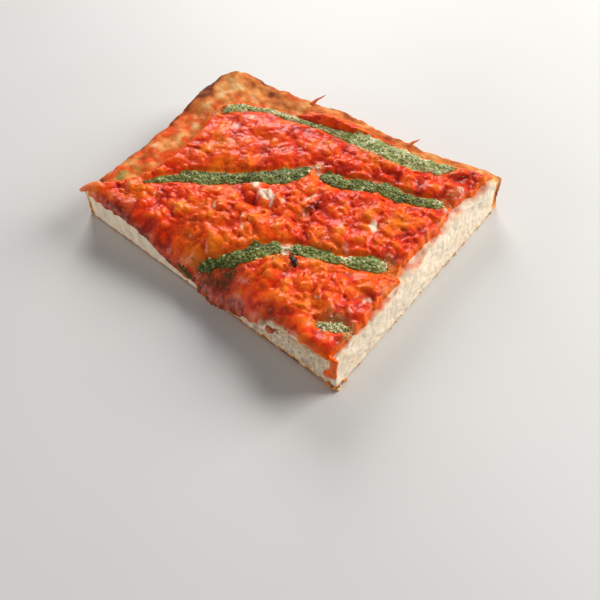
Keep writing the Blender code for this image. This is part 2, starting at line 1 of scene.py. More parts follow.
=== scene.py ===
"""Looks for a corner slice of focaccia pizza: bread, baked tomato and cheese, and pesto stripes.

Shapes are worked out in millimetres in the plan of the slice. Its front cut corner is (0, 0), X runs along
the right cut side, Y along the left cut side and Z up. Pieces are moved to the part's frame when they are
made.
"""
import logging
import math
from collections.abc import Iterable, Sequence
from dataclasses import dataclass, field
from enum import Enum, IntEnum

import bmesh
import bpy
import numpy as np
from mathutils import Euler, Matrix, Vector
from mathutils.bvhtree import BVHTree


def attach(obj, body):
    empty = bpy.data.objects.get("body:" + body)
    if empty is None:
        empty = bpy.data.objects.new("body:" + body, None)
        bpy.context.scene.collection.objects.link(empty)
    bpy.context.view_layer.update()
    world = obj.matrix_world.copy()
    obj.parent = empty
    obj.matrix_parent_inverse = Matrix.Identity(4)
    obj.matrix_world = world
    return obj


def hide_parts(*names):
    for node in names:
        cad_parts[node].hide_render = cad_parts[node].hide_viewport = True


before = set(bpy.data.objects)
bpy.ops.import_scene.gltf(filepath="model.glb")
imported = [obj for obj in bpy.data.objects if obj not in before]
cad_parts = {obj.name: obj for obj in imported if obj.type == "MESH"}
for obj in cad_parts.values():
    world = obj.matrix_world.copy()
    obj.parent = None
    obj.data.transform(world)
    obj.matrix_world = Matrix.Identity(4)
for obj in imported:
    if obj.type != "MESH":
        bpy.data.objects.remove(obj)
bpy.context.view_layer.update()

Array = np.ndarray
Rows = tuple[tuple[float, ...], ...]
Colour = tuple[float, float, float, float]

MM = 0.001
ORIGIN = np.array([57.108, 71.737, 0.0])
SIDE_SAMPLES = 40
CURVE_STEPS = 16
NOISE_TABLE = 64
FAR = 1e9
HASH_AXES = (73856093, 19349663, 83492791)
HASH_SEED = 2654435761
HASH_STIRS = ((15, 2246822519), (13, 3266489917))
HASH_RANGE = 2 ** 32
OCTAVE_SEEDS = 17

logger = logging.getLogger("focaccia_slice")


class Slot(str, Enum):
    """Material slots of the part's record."""

    BREAD = "baked_bread"
    SAUCE = "tomato_and_cheese"
    PESTO = "pesto"


class Edge(str, Enum):
    """The four sides of the slice: two are cut, two are baked crust."""

    FRONT = "front"
    LEFT = "left"
    RIGHT = "right"
    BACK = "back"


class Part(IntEnum):
    """Which part of the bread's skin a point belongs to."""

    TOP = 0
    FRONT = 1
    LEFT = 2
    OUTER = 3
    UNDERSIDE = 4


def display(red: int, green: int, blue: int) -> Colour:
    """Linear colour from display values of 0 to 255."""
    linear = [((v / 255 + 0.055) / 1.055) ** 2.4 if v > 10 else v / 255 / 12.92 for v in (red, green, blue)]
    return (*linear, 1.0)


def even(cells: int) -> Array:
    """Shares from 0 to 1 at even spacing."""
    return np.linspace(0, 1, cells + 1)


def smooth(t: Array) -> Array:
    """A soft step from 0 to 1."""
    t = np.clip(t, 0.0, 1.0)
    return t * t * (3 - 2 * t)


def spline(points: Sequence, shares: Array) -> Array:
    """Points along a smooth curve.

    Args:
        points: Places that the curve passes through; values after x and y ride along.
        shares: Shares of the curve's length in plan.

    Returns:
        One row for each share.
    """
    p = np.array(points, float)
    p = np.vstack([2 * p[0] - p[1], p, 2 * p[-1] - p[-2]])
    t = np.linspace(0, 1, CURVE_STEPS, endpoint=False)[:, None]
    pieces = []
    for a, b, c, d in zip(p, p[1:], p[2:], p[3:]):
        pieces.append(b + 0.5 * t * (c - a + t * (2 * a - 5 * b + 4 * c - d + t * (3 * (b - c) + d - a))))
    dense = np.vstack(pieces + [p[-2:-1]])
    along = np.concatenate([[0], np.cumsum(np.linalg.norm(np.diff(dense[:, :2], axis=0), axis=1))])
    return np.stack([np.interp(shares * along[-1], along, dense[:, k]) for k in range(p.shape[1])], 1)


def distance_to(x: Array, y: Array, line: Array) -> tuple[Array, Array]:
    """Distance in plan from each place to a polyline.

    Args:
        x: Places along X.
        y: Places along Y.
        line: Points of the polyline; a third value may ride along.

    Returns:
        The distances, and the third value at the nearest point.
    """
    best, value = np.full(np.shape(x), FAR), np.zeros(np.shape(x))
    for a, b in zip(line, line[1:]):
        run = b[:2] - a[:2]
        t = np.clip(((x - a[0]) * run[0] + (y - a[1]) * run[1]) / (run @ run), 0, 1)
        away = np.hypot(x - a[0] - t * run[0], y - a[1] - t * run[1])
        if len(a) > 2:
            value = np.where(away < best, a[2] + t * (b[2] - a[2]), value)
        best = np.minimum(away, best)
    return best, value


def spots(x: Array, y: Array, places: Rows) -> Array:
    """Sum of soft round spots.

    Args:
        x: Places along X.
        y: Places along Y.
        places: For each spot its x, y, two half sizes, turn in degrees and strength.

    Returns:
        The sum at each place.
    """
    total = np.zeros(np.shape(x))
    for at_x, at_y, half_x, half_y, turn, strength in places:
        c, s = math.cos(math.radians(turn)), math.sin(math.radians(turn))
        along = ((x - at_x) * c + (y - at_y) * s) / half_x
        across = ((y - at_y) * c - (x - at_x) * s) / half_y
        total += strength * np.exp(-(along ** 2 + across ** 2))
    return total


def sideways(line: Array) -> Array:
    """Unit directions in plan across a line, one for each of its points."""
    run = np.gradient(line[:, :2], axis=0)
    return np.stack([-run[:, 1], run[:, 0]], 1) / np.linalg.norm(run, axis=1)[:, None]


def softened(stops: Rows, cells: int, passes: int) -> Array:
    """Rows spread evenly between stops, with the corners rounded off.

    Args:
        stops: Rows of values to pass near.
        cells: How many steps the result has.
        passes: How often the corners are rounded.

    Returns:
        One row more than there are cells.
    """
    share = np.linspace(0, 1, len(stops))
    line = np.stack([np.interp(even(cells), share, column) for column in np.array(stops).T], 1)
    for _ in range(passes):
        line[1:-1] = (line[:-2] + 2 * line[1:-1] + line[2:]) / 4
    return line


def with_underside(values: Array) -> Array:
    """Values of a slab's top followed by those of its coarser underside."""
    return np.concatenate([values.ravel(), values[::2, ::2].ravel()])


class Waves:
    """Seeded random fields over points in millimetres."""

    @staticmethod
    def chance(cells: Array, seed: int) -> Array:
        """Random numbers from 0 to 1, one for each whole-number cell.

        Args:
            cells: Whole numbers of each cell.
            seed: Which set of numbers to use.

        Returns:
            One number for each cell.
        """
        key = cells.astype(np.int64).astype(np.uint64)
        mix, low_bits = np.uint64(seed * HASH_SEED), np.uint64(HASH_RANGE - 1)
        for axis, factor in enumerate(HASH_AXES):
            mix = mix ^ key[..., axis] * np.uint64(factor)
        mix = mix & low_bits
        for shift, factor in HASH_STIRS:
            mix = (mix ^ mix >> np.uint64(shift)) * np.uint64(factor) & low_bits
        return (mix ^ mix >> np.uint64(16)).astype(float) / HASH_RANGE

    @classmethod
    def rolling(cls, points: Array, cell: float, seed: int, octaves: int = 1) -> Array:
        """Smooth waves between about -1 and 1.

        Args:
            points: Places, one row each.
            cell: Size of the largest waves.
            seed: Which field.
            octaves: How many sizes of waves, each half of the one before.

        Returns:
            One value for each place.
        """
        total = np.zeros(len(points))
        for octave in range(octaves):
            grid = points * 2 ** octave / cell
            low = np.floor(grid)
            part = grid - low
            ease = part ** 3 * (part * (part * 6 - 15) + 10)
            wave = np.zeros(len(points))
            for corner in np.ndindex(2, 2, 2):
                step = np.array(corner)
                weight = np.prod(np.where(step, ease, 1 - ease), axis=1)
                seeds = (seed + OCTAVE_SEEDS * octave + axis for axis in range(3))
                slope = np.stack([cls.chance(low + step, one) for one in seeds], 1) * 2 - 1
                wave += weight * ((part - step) * slope).sum(1)
            total += wave * 1.5 * 0.5 ** octave
        return total

    @classmethod
    def over_plan(cls, x: Array, y: Array, cell: float, seed: int, octaves: int = 1) -> Array:
        """Smooth waves over places in plan, in the shape of the places."""
        flat = np.stack([x.ravel(), y.ravel(), np.zeros(x.size)], 1)
        return cls.rolling(flat, cell, seed, octaves).reshape(x.shape)

    @classmethod
    def domes(cls, points: Array, cell: float, least: float, most: float, seed: int) -> tuple[Array, Array]:
        """Rounded bumps at random places with random sizes.

        Args:
            points: Places, one row each.
            cell: Spacing of the bumps.
            least: Radius of the smallest bump in cells.
            most: Radius of the largest bump in cells.
            seed: Which field.

        Returns:
            Height from 0 to 1, and a random number that belongs to the highest bump at each place.
        """
        grid = points / cell
        low = np.floor(grid)
        best, tag = np.zeros(len(points)), np.zeros(len(points))
        for corner in np.ndindex(3, 3, 3):
            home = low + np.array(corner) - 1
            spot = home + np.stack([cls.chance(home, seed + k) for k in range(3)], 1)
            size = least + (most - least) * cls.chance(home, seed + 3)
            rise = 1 - ((grid - spot) ** 2).sum(1) / size ** 2
            tag = np.where(rise > best, cls.chance(home, seed + 4), tag)
            best = np.maximum(rise, best)
        return best, tag

    @staticmethod
    def table(x: Array, y: Array, cell: float, seed: int) -> Array:
        """The slow waves of the solids, between -1 and 1, over the plan.

        Args:
            x: Places across.
            y: Places along.
            cell: Size of the waves.
            seed: Which waves to use.

        Returns:
            One value for each place.
        """
        rows = np.random.default_rng(seed).uniform(-1, 1, (NOISE_TABLE, NOISE_TABLE))
        gx, gy = x / cell, y / cell
        ix, iy = np.floor(gx).astype(int), np.floor(gy).astype(int)
        fx, fy = smooth(gx - ix), smooth(gy - iy)
        ix, iy, jx, jy = (k % NOISE_TABLE for k in (ix, iy, ix + 1, iy + 1))
        low = rows[ix, iy] * (1 - fx) + rows[jx, iy] * fx
        high = rows[ix, jy] * (1 - fx) + rows[jx, jy] * fx
        return low * (1 - fy) + high * fy


@dataclass(frozen=True)
class Cells:
    """Numbers of mesh cells over each part of the slice's skin."""

    sauce_u: int
    sauce_v: int
    crust_u: int
    crust_v: int
    strip_v: int
    shoulder: int
    face: int


@dataclass(frozen=True)
class SlicePlan:
    """Outline, heights and sauce edge of the slice, in millimetres from its front cut corner."""

    ground: dict[Edge, Rows] = field(default_factory=lambda: {
        Edge.LEFT: ((0, 0), (-0.5, 139.5)),
        Edge.FRONT: ((0, 0), (119.3, 0)),
        Edge.RIGHT: (
            (119.3, 0), (115.6, 20), (113.2, 45), (112, 75), (110, 100), (109, 118), (107, 131),
            (102, 138.4)),
        Edge.BACK: ((-0.5, 139.5), (30, 140.4), (60, 141.8), (80, 142.8), (92, 142.2), (102, 138.4)),
    })
    rim: dict[Edge, Rows] = field(default_factory=lambda: {
        Edge.LEFT: (
            (1, 2, 0.8), (0.8, 24, 1), (0.5, 38, 2.2), (0.2, 50, 4.4), (0, 66, 5.4), (0.2, 82, 4.6),
            (0.4, 96, 2.2), (0.4, 118, 1.1), (0.2, 137.8, 0.8)),
        Edge.FRONT: (
            (1, 2, 0.8), (30, 1.7, 0.7), (54, 2.1, 0.7), (64, 3.9, 0.8), (84, 4.1, 0.8), (100, 3.4, 0.8),
            (109, 2.4, 0.8), (117, 1.9, 0.9)),
        Edge.RIGHT: (
            (117, 1.9, 0.9), (116.6, 10, 1.3), (113.8, 22, 1.8), (110.8, 36, 2), (109.4, 58, 2),
            (108.6, 80, 2.2), (106, 93, 2.6), (104.6, 108, 3.6), (103.6, 120, 5), (102, 130, 6),
            (97.2, 138, 6)),
        Edge.BACK: (
            (0.2, 137.8, 0.8), (18, 137.6, 1.8), (40, 138.8, 2.2), (56, 140.8, 3.2), (68, 142.4, 4.8),
            (79, 143.4, 6), (90, 142.4, 6.4), (97.2, 138, 6)),
    })
    sauce_front: Rows = (
        (1.8, 3.9), (14, 3.6), (38, 3.7), (46, 6.2), (58, 7.4), (68, 6.6), (73, 5.6), (80, 7.2), (92, 8.2),
        (102, 6), (109, 4.6), (113.4, 4.4))
    sauce_right: Rows = (
        (113.4, 4.4), (112.6, 10), (109.8, 20), (106.6, 28), (104.6, 38), (104, 54), (103.4, 68),
        (102.6, 80), (99, 89), (93.6, 96), (91.4, 104), (88.8, 112.4), (84.8, 120))
    sauce_back: Rows = (
        (1.2, 134.8), (7, 132.6), (13, 128), (21, 124.6), (34, 123.2), (48, 123.8), (58, 125.4),
        (66, 127.8), (73, 127), (79, 124), (84.8, 120))
    sauce_drape: Rows = (
        (0, 18), (10, 17.8), (21, 16.8), (28, 15.6), (34, 13.2), (40, 10), (48, 7), (57, 5.4), (68, 5.4),
        (75, 7), (81, 9.4), (88, 11.2), (95, 12.4), (100, 14.4), (109, 15.6), (117, 16.6), (131, 15.4),
        (140, 14))
    span: tuple[float, float] = (119.3, 140.0)
    heights: tuple[float, float, float, float] = (19.2, 17.5, 14.2, 18.2)
    crown: float = 0.7
    hump: tuple[float, ...] = (82.0, 132.5, 17.0, 12.0, 4.1, 2.0)
    rim_height: float = 1.9
    rim_width: float = 7.0
    rim_crest: float = 4.0
    droop: tuple[float, ...] = (0.0, 68.0, 9.0, 27.0, 7.4)
    swell: tuple[float, ...] = (0.0, 114.0, 16.0, 14.0, 2.0)
    wall_wave: float = 0.5
    wall_cell: float = 7.0
    wall_slant: float = 3.1
    crust_wave: float = 0.45
    crust_cell: float = 9.0
    underside_edge: float = 0.8
    stops: dict[Edge, tuple[float, float]] = field(default_factory=lambda: {
        Edge.FRONT: (0.0, 0.968), Edge.BACK: (0.0, 0.855),
        Edge.LEFT: (0.014, 0.978), Edge.RIGHT: (0.022, 0.86)})

    def bread_height(self, x: Array, y: Array) -> Array:
        """Height of the bare bread's top.

        Args:
            x: Places across.
            y: Places along.

        Returns:
            One height for each place.
        """
        u, v = np.clip(x / self.span[0], 0, 1), np.clip(y / self.span[1], 0, 1)
        front, right, left, back = self.heights
        z = (front * (1 - u) + right * u) * (1 - v) + (left * (1 - u) + back * u) * v
        z = z + self.crown * 16 * u * (1 - u) * v * (1 - v)
        hump = ((x - self.hump[0]) / self.hump[2]) ** 2 + ((y - self.hump[1]) / self.hump[3]) ** 2
        droop = ((x - self.droop[0]) / self.droop[2]) ** 2 + ((y - self.droop[1]) / self.droop[3]) ** 4
        swell = ((x - self.swell[0]) / self.swell[2]) ** 2 + ((y - self.swell[1]) / self.swell[3]) ** 2
        z += self.hump[4] * np.exp(-hump ** self.hump[5]) - self.droop[4] * np.exp(-droop)
        z += self.swell[4] * np.exp(-swell)
        for side in (Edge.RIGHT, Edge.BACK):
            away = self.rim_distance(x, y, side)
            z += self.rim_height * np.exp(-((away - self.rim_crest) / self.rim_width) ** 2)
            ripple = self.crust_wave * Waves.table(x, y, self.crust_cell, 5)
            z += ripple * np.exp(-(away / self.rim_width) ** 2)
        return z

    def rim_distance(self, x: Array, y: Array, side: Edge) -> Array:
        """Distance in plan to the rim of a side."""
        return distance_to(x, y, spline(self.rim[side], even(SIDE_SAMPLES)))[0]

    def sauce_distance(self, x: Array, y: Array) -> Array:
        """Distance in plan to the sauce's edge on the front, the right or the back."""
        edges = (self.sauce_front, self.sauce_right, self.sauce_back)
        return np.minimum.reduce([distance_to(x, y, spline(line, even(SIDE_SAMPLES)))[0] for line in edges])

    def shares(self, side: Edge, cells: Cells) -> Array:
        """Shares along a side where the grid lines of the top meet it.

        Args:
            side: Side of the slice.
            cells: Numbers of mesh cells.

        Returns:
            The shares, from 0 to 1.
        """
        low, high = self.stops[side]
        if side in (Edge.FRONT, Edge.BACK):
            counts = ((cells.sauce_u, high), (cells.crust_u, 1.0))
        else:
            counts = ((cells.strip_v, low), (cells.sauce_v, high), (cells.crust_v, 1.0))
        found, start = [0.0], 0.0
        for count, stop in counts:
            found += [start + (stop - start) * k / count for k in range(1, count + 1)]
            start = stop
        return np.array(found)

    def outline(self, cells: Cells) -> tuple[dict[Edge, Array], dict[Edge, Array], dict[Edge, Array]]:
        """Each side's rim, underside and the edge of its flat top, at the grid lines.

        Args:
            cells: Numbers of mesh cells.

        Returns:
            Three lines of points for each side.
        """
        rim, ground, into, edge = {}, {}, {}, {}
        for side in Edge:
            rim[side] = spline(self.rim[side], self.shares(side, cells))
            ground[side] = spline(self.ground[side], self.shares(side, cells))
            turn = 1 if side in (Edge.FRONT, Edge.RIGHT) else -1
            into[side] = turn * sideways(rim[side])
            edge[side] = rim[side][:, :2] + into[side] * rim[side][:, 2:]
        for a, b, i, j in ((Edge.FRONT, Edge.LEFT, 0, 0), (Edge.FRONT, Edge.RIGHT, -1, 0),
                           (Edge.BACK, Edge.LEFT, 0, -1), (Edge.BACK, Edge.RIGHT, -1, -1)):
            both = into[a][i] + into[b][j]
            corner = rim[a][i, :2] + rim[a][i, 2] * both / (1 + into[a][i] @ into[b][j])
            edge[a][i] = edge[b][j] = corner
        return rim, ground, edge

    def top(self, edge: dict[Edge, Array], cells: Cells) -> Array:
        """The bread's top as a grid of points with a line along each edge of the sauce.

        Args:
            edge: Edge of the top on each side.
            cells: Numbers of mesh cells.

        Returns:
            The grid.
        """
        nu, low = cells.sauce_u, cells.strip_v
        high = low + cells.sauce_v
        plan = np.zeros((nu + cells.crust_u + 1, high + cells.crust_v + 1, 2))
        front, back, left = edge[Edge.FRONT][:nu + 1], edge[Edge.BACK][:nu + 1], edge[Edge.LEFT][low:high + 1]
        sauce_front, sauce_back = spline(self.sauce_front, even(nu)), spline(self.sauce_back, even(nu))
        sauce_front[0], sauce_back[0] = left[0], left[-1]
        sauce_right = spline(self.sauce_right, even(cells.sauce_v))
        plan[:nu + 1, low:high + 1] = self.patch(sauce_front, sauce_back, left, sauce_right)
        plan[:nu + 1, :low + 1] = self.blend(front, sauce_front, low)
        plan[:nu + 1, high:] = self.blend(sauce_back, back, cells.crust_v)
        plan[0] = edge[Edge.LEFT]
        plan[nu:] = self.blend(plan[nu], edge[Edge.RIGHT], cells.crust_u).transpose(1, 0, 2)
        plan[nu:, 0], plan[nu:, -1] = edge[Edge.FRONT][nu:], edge[Edge.BACK][nu:]
        return np.dstack([plan, self.bread_height(plan[..., 0], plan[..., 1])])

    @staticmethod
    def blend(first: Array, last: Array, cells: int) -> Array:
        """Points from one curve to another, indexed along the curves and then across."""
        t = even(cells)[None, :, None]
        return first[:, None] * (1 - t) + last[:, None] * t

    @staticmethod
    def patch(front: Array, back: Array, left: Array, right: Array) -> Array:
        """A patch of points between four curves, indexed along the front and then along the left.

        Args:
            front: Curve at the front.
            back: Curve at the back.
            left: Curve on the left.
            right: Curve on the right.

        Returns:
            The grid.
        """
        u, v = even(len(front) - 1)[:, None, None], even(len(left) - 1)[None, :, None]
        ruled = front[:, None] * (1 - v) + back[:, None] * v + left[None] * (1 - u) + right[None] * u
        corners = (front[0] * (1 - u) + front[-1] * u) * (1 - v) + (back[0] * (1 - u) + back[-1] * u) * v
        return ruled - corners

    def shoulder(self, edge: Array, rim: Array, rows: int) -> list[Array]:
        """Rows of points round the shoulder of one side, from the top edge to the wall.

        Args:
            edge: Edge of the top.
            rim: Rim of the side.
            rows: How many rows to make.

        Returns:
            The rows, from the top down.
        """
        out = rim[:, :2] - edge[:, :2]
        found = []
        for k in range(1, rows + 1):
            turn = math.pi / 2 * k / rows
            sunk = edge[:, 2] - rim[:, 2] * (1 - math.cos(turn))
            found.append(np.column_stack([edge[:, :2] + out * math.sin(turn), sunk]))
        return found

    def wall(self, edge: Array, rim: Array, ground: Array, z: Array) -> Array:
        """Points on the wall of one side at the given heights.

        Args:
            edge: Edge of the top.
            rim: Rim of the side.
            ground: Edge of the underside.
            z: Height of each point.

        Returns:
            The points.
        """
        out = rim[:, :2] - edge[:, :2]
        away = out / np.linalg.norm(out, axis=1)[:, None]
        foot = edge[:, 2] - rim[:, 2]
        down = ((foot - z) / (foot - self.underside_edge))[:, None]
        place = rim[:, :2] * (1 - down) + ground * down
        along = place[:, 0] + self.wall_slant * place[:, 1]
        wave = self.wall_wave * Waves.table(along, z, self.wall_cell, 7)
        wave *= smooth((foot - z) / 2.0) * smooth((z - self.underside_edge) / 3.0)
        return np.column_stack([place + away * wave[:, None], z])


class Shapes:
    """Ways of making the faces of closed bodies from grids and rings of points."""

    @staticmethod
    def grid(across: int, along: int, start: int = 0, flip: bool = False) -> Array:
        """Quads of a grid of points that is indexed across and then along.

        Args:
            across: Points across.
            along: Points along.
            start: Number of the first point.
            flip: Whether the quads face the other way.

        Returns:
            Point numbers of each quad.
        """
        i, j = np.meshgrid(np.arange(across - 1), np.arange(along - 1), indexing="ij")
        a = (start + i * along + j).ravel()
        quads = np.stack([a, a + along, a + along + 1, a + 1], 1)
        return quads[:, ::-1] if flip else quads

    @staticmethod
    def border(across: int, along: int) -> list[tuple[int, int]]:
        """Index pairs once round the border of a grid.

        Args:
            across: Points across.
            along: Points along.

        Returns:
            The pairs, in order.
        """
        front, right = [(i, 0) for i in range(across)], [(across - 1, j) for j in range(1, along)]
        back, left = [(i, along - 1) for i in range(across - 1)], [(0, j) for j in range(1, along - 1)]
        return front + right + back[::-1] + left[::-1]

    @classmethod
    def slab(cls, lower: Array, upper: Array) -> tuple[Array, list]:
        """A closed layer whose underside has half as many cells each way as its top.

        Args:
            lower: Grid of points of the underside, as fine as the top.
            upper: Grid of points of the top, with an even number of cells each way.

        Returns:
            Points and faces.
        """
        across, along = upper.shape[:2]
        coarse = lower[::2, ::2]
        start, low_along = across * along, coarse.shape[1]
        points = np.concatenate([upper.reshape(-1, 3), coarse.reshape(-1, 3)])
        faces = cls.grid(across, along).tolist() + cls.grid(*coarse.shape[:2], start, flip=True).tolist()
        ring = cls.border(across, along)
        for k in range(0, len(ring), 2):
            three = [ring[k], ring[k + 1], ring[(k + 2) % len(ring)]]
            a, b, c = (i * along + j for i, j in three)
            low_a, low_c = (start + i // 2 * low_along + j // 2 for i, j in (three[0], three[2]))
            faces += [[b, a, low_a], [b, low_a, low_c], [b, low_c, c]]
        return points, faces


def make_piece(name: str, points: Array, faces: Sequence, masks: dict[str, Array],
               material: bpy.types.Material, stands_for: Iterable[str] = ()) -> bpy.types.Object:
    """A piece of the slice that rides on its one body.

    Args:
        name: Name of the piece.
        points: Points in millimetres of the plan.
        faces: Point numbers of each face.
        masks: Values at each point that the material reads by name.
        material: Its finish.
        stands_for: Nodes that the piece replaces.

    Returns:
        The new object.
    """
    mesh = bpy.data.meshes.new(name)
    mesh.from_pydata(((points - ORIGIN) * MM).tolist(), [], [list(f) for f in faces])
    for mask, values in masks.items():
        layer = mesh.attributes.new(mask, "FLOAT", "POINT")
        layer.data.foreach_set("value", np.asarray(values, np.float32).ravel())
    mesh.shade_smooth()
    mesh.materials.append(material)
    piece = bpy.data.objects.new(name, mesh)
    bpy.context.scene.collection.objects.link(piece)
    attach(piece, "root")
    if stands_for:
        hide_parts(*stands_for)
    logger.info("%s: %d points, %d faces", name, len(mesh.vertices), len(mesh.polygons))
    return piece


def point_normals(points: Array, faces: Sequence) -> Array:
    """Unit normals at the points of a mesh.

    Args:
        points: Places of the mesh.
        faces: Point numbers of each face.

    Returns:
        One for each point.
    """
    mesh = bpy.data.meshes.new("draft")
    mesh.from_pydata(points.tolist(), [], [list(f) for f in faces])
    found = np.zeros(len(points) * 3, np.float32)
    mesh.vertex_normals.foreach_get("vector", found)
    bpy.data.meshes.remove(mesh)
    return found.reshape(-1, 3).astype(float)


class Landing:
    """Finds where things lie on the finished pieces, seen from well outside them."""

    outside = 60.0

    def __init__(self, pieces: Sequence[bpy.types.Object]) -> None:
        """Take the pieces that things can lie on."""
        depsgraph = bpy.context.evaluated_depsgraph_get()
        self.trees = [BVHTree.FromObject(piece, depsgraph) for piece in pieces]

    def drop(self, x: float, y: float) -> float:
        """Height in millimetres of the highest surface under a place in plan."""
        start = Vector((np.array([x, y, self.outside]) - ORIGIN) * MM)
        return float(self.meet(start, Vector((0.0, 0.0, -1.0)))[2])

    def side(self, y: float, z: float) -> Array:
        """Place in millimetres where the left cut side is met at a height."""
        start = Vector((np.array([-self.outside, y, z]) - ORIGIN) * MM)
        return self.meet(start, Vector((1.0, 0.0, 0.0)))

    def meet(self, start: Vector, way: Vector) -> Array:
        """Place in millimetres of the plan where a straight line first meets a surface.

        Args:
            start: Where the ray starts.
            way: Which way it goes.

        Returns:
            The place.
        """
        best, found = FAR, np.array(start) / MM + ORIGIN
        for tree in self.trees:
            place, _, _, away = tree.ray_cast(start, way)
            if place is not None and away < best:
                best, found = away, np.array(place) / MM + ORIGIN
        return found


class Sheet:
    """Adds shader nodes to one tree and joins them."""

    def __init__(self, tree: bpy.types.NodeTree) -> None:
        """Work on the given tree."""
        self.tree = tree

    def feed(self, socket: bpy.types.NodeSocket, value: object) -> None:
        """Give an input a value or a link.

        Args:
            socket: The input.
            value: A number, a colour or another node's output.
        """
        if isinstance(value, bpy.types.NodeSocket):
            self.tree.links.new(value, socket)
        else:
            socket.default_value = value

    def add(self, kind: str, settings: dict | None = None, **inputs: object) -> bpy.types.Node:
        """Add a node.

        Args:
            kind: Type name of the node.
            settings: Properties of the node.
            **inputs: Values or sockets for its inputs, with underscores for spaces.

        Returns:
            The node.
        """
        node = self.tree.nodes.new(kind)
        for name, value in (settings or {}).items():
            setattr(node, name, value)
        for name, value in inputs.items():
            self.feed(node.inputs[name.replace("_", " ")], value)
        return node

    def math(self, operation: str, first: object, second: object,
             clamp: bool = False) -> bpy.types.NodeSocket:
        """Result of a sum of two values.

        Args:
            operation: Name of the sum.
            first: First value.
            second: Second value.
            clamp: Whether to keep the result from 0 to 1.

        Returns:
            The result.
        """
        node = self.add("ShaderNodeMath", {"operation": operation, "use_clamp": clamp})
        self.feed(node.inputs[0], first)
        self.feed(node.inputs[1], second)
        return node.outputs[0]

    def times(self, first: object, second: object) -> bpy.types.NodeSocket:
        """Product of two values."""
        return self.math("MULTIPLY", first, second)

    def mix(self, factor: object, first: object, second: object) -> bpy.types.NodeSocket:
        """Colour mixed from two colours.

        Args:
            factor: Share of the second colour.
            first: First colour.
            second: Second colour.

        Returns:
            The mixed colour.
        """
        node = self.add("ShaderNodeMix", {"data_type": "RGBA"})
        for index, value in ((0, factor), (6, first), (7, second)):
            self.feed(node.inputs[index], value)
        return node.outputs[2]

    def ramp(self, factor: object, stops: Sequence[tuple[float, Colour]]) -> bpy.types.NodeSocket:
        """Colour from a scale of colours.

        Args:
            factor: Where on the scale.
            stops: Places and colours of the scale.

        Returns:
            The colour.
        """
        node = self.add("ShaderNodeValToRGB", Fac=factor)
        elements = node.color_ramp.elements
        while len(elements) < len(stops):
            elements.new(0.5)
        for element, (place, colour) in zip(elements, stops):
            element.position, element.color = place, colour
        return node.outputs["Color"]

    def mask(self, name: str) -> bpy.types.NodeSocket:
        """Value of a named mask of the mesh."""
        return self.add("ShaderNodeAttribute", {"attribute_name": name}).outputs["Fac"]

    def spread(self, value: object, low: float, high: float, to_low: float = 0.0,
               to_high: float = 1.0) -> bpy.types.NodeSocket:
        """A value spread from one range to another.

        Args:
            value: The value.
            low: Start of its range.
            high: End of its range.
            to_low: What the start becomes.
            to_high: What the end becomes.

        Returns:
            The new value.
        """
        node = self.add("ShaderNodeMapRange", {"interpolation_type": "SMOOTHSTEP"}, Value=value,
                        From_Min=low, From_Max=high, To_Min=to_low, To_Max=to_high)
        return node.outputs["Result"]

    def effect(self, group: bpy.types.NodeTree, **inputs: object) -> bpy.types.NodeSocket:
        """First output of a shared effect.

        Args:
            group: The effect.
            inputs: Its values, with _ for a space.

        Returns:
            The output.
        """
        node = self.tree.nodes.new("ShaderNodeGroup")
        node.node_tree = group
        for name, value in inputs.items():
            self.feed(node.inputs[name.replace("_", " ")], value)
        return node.outputs[0]


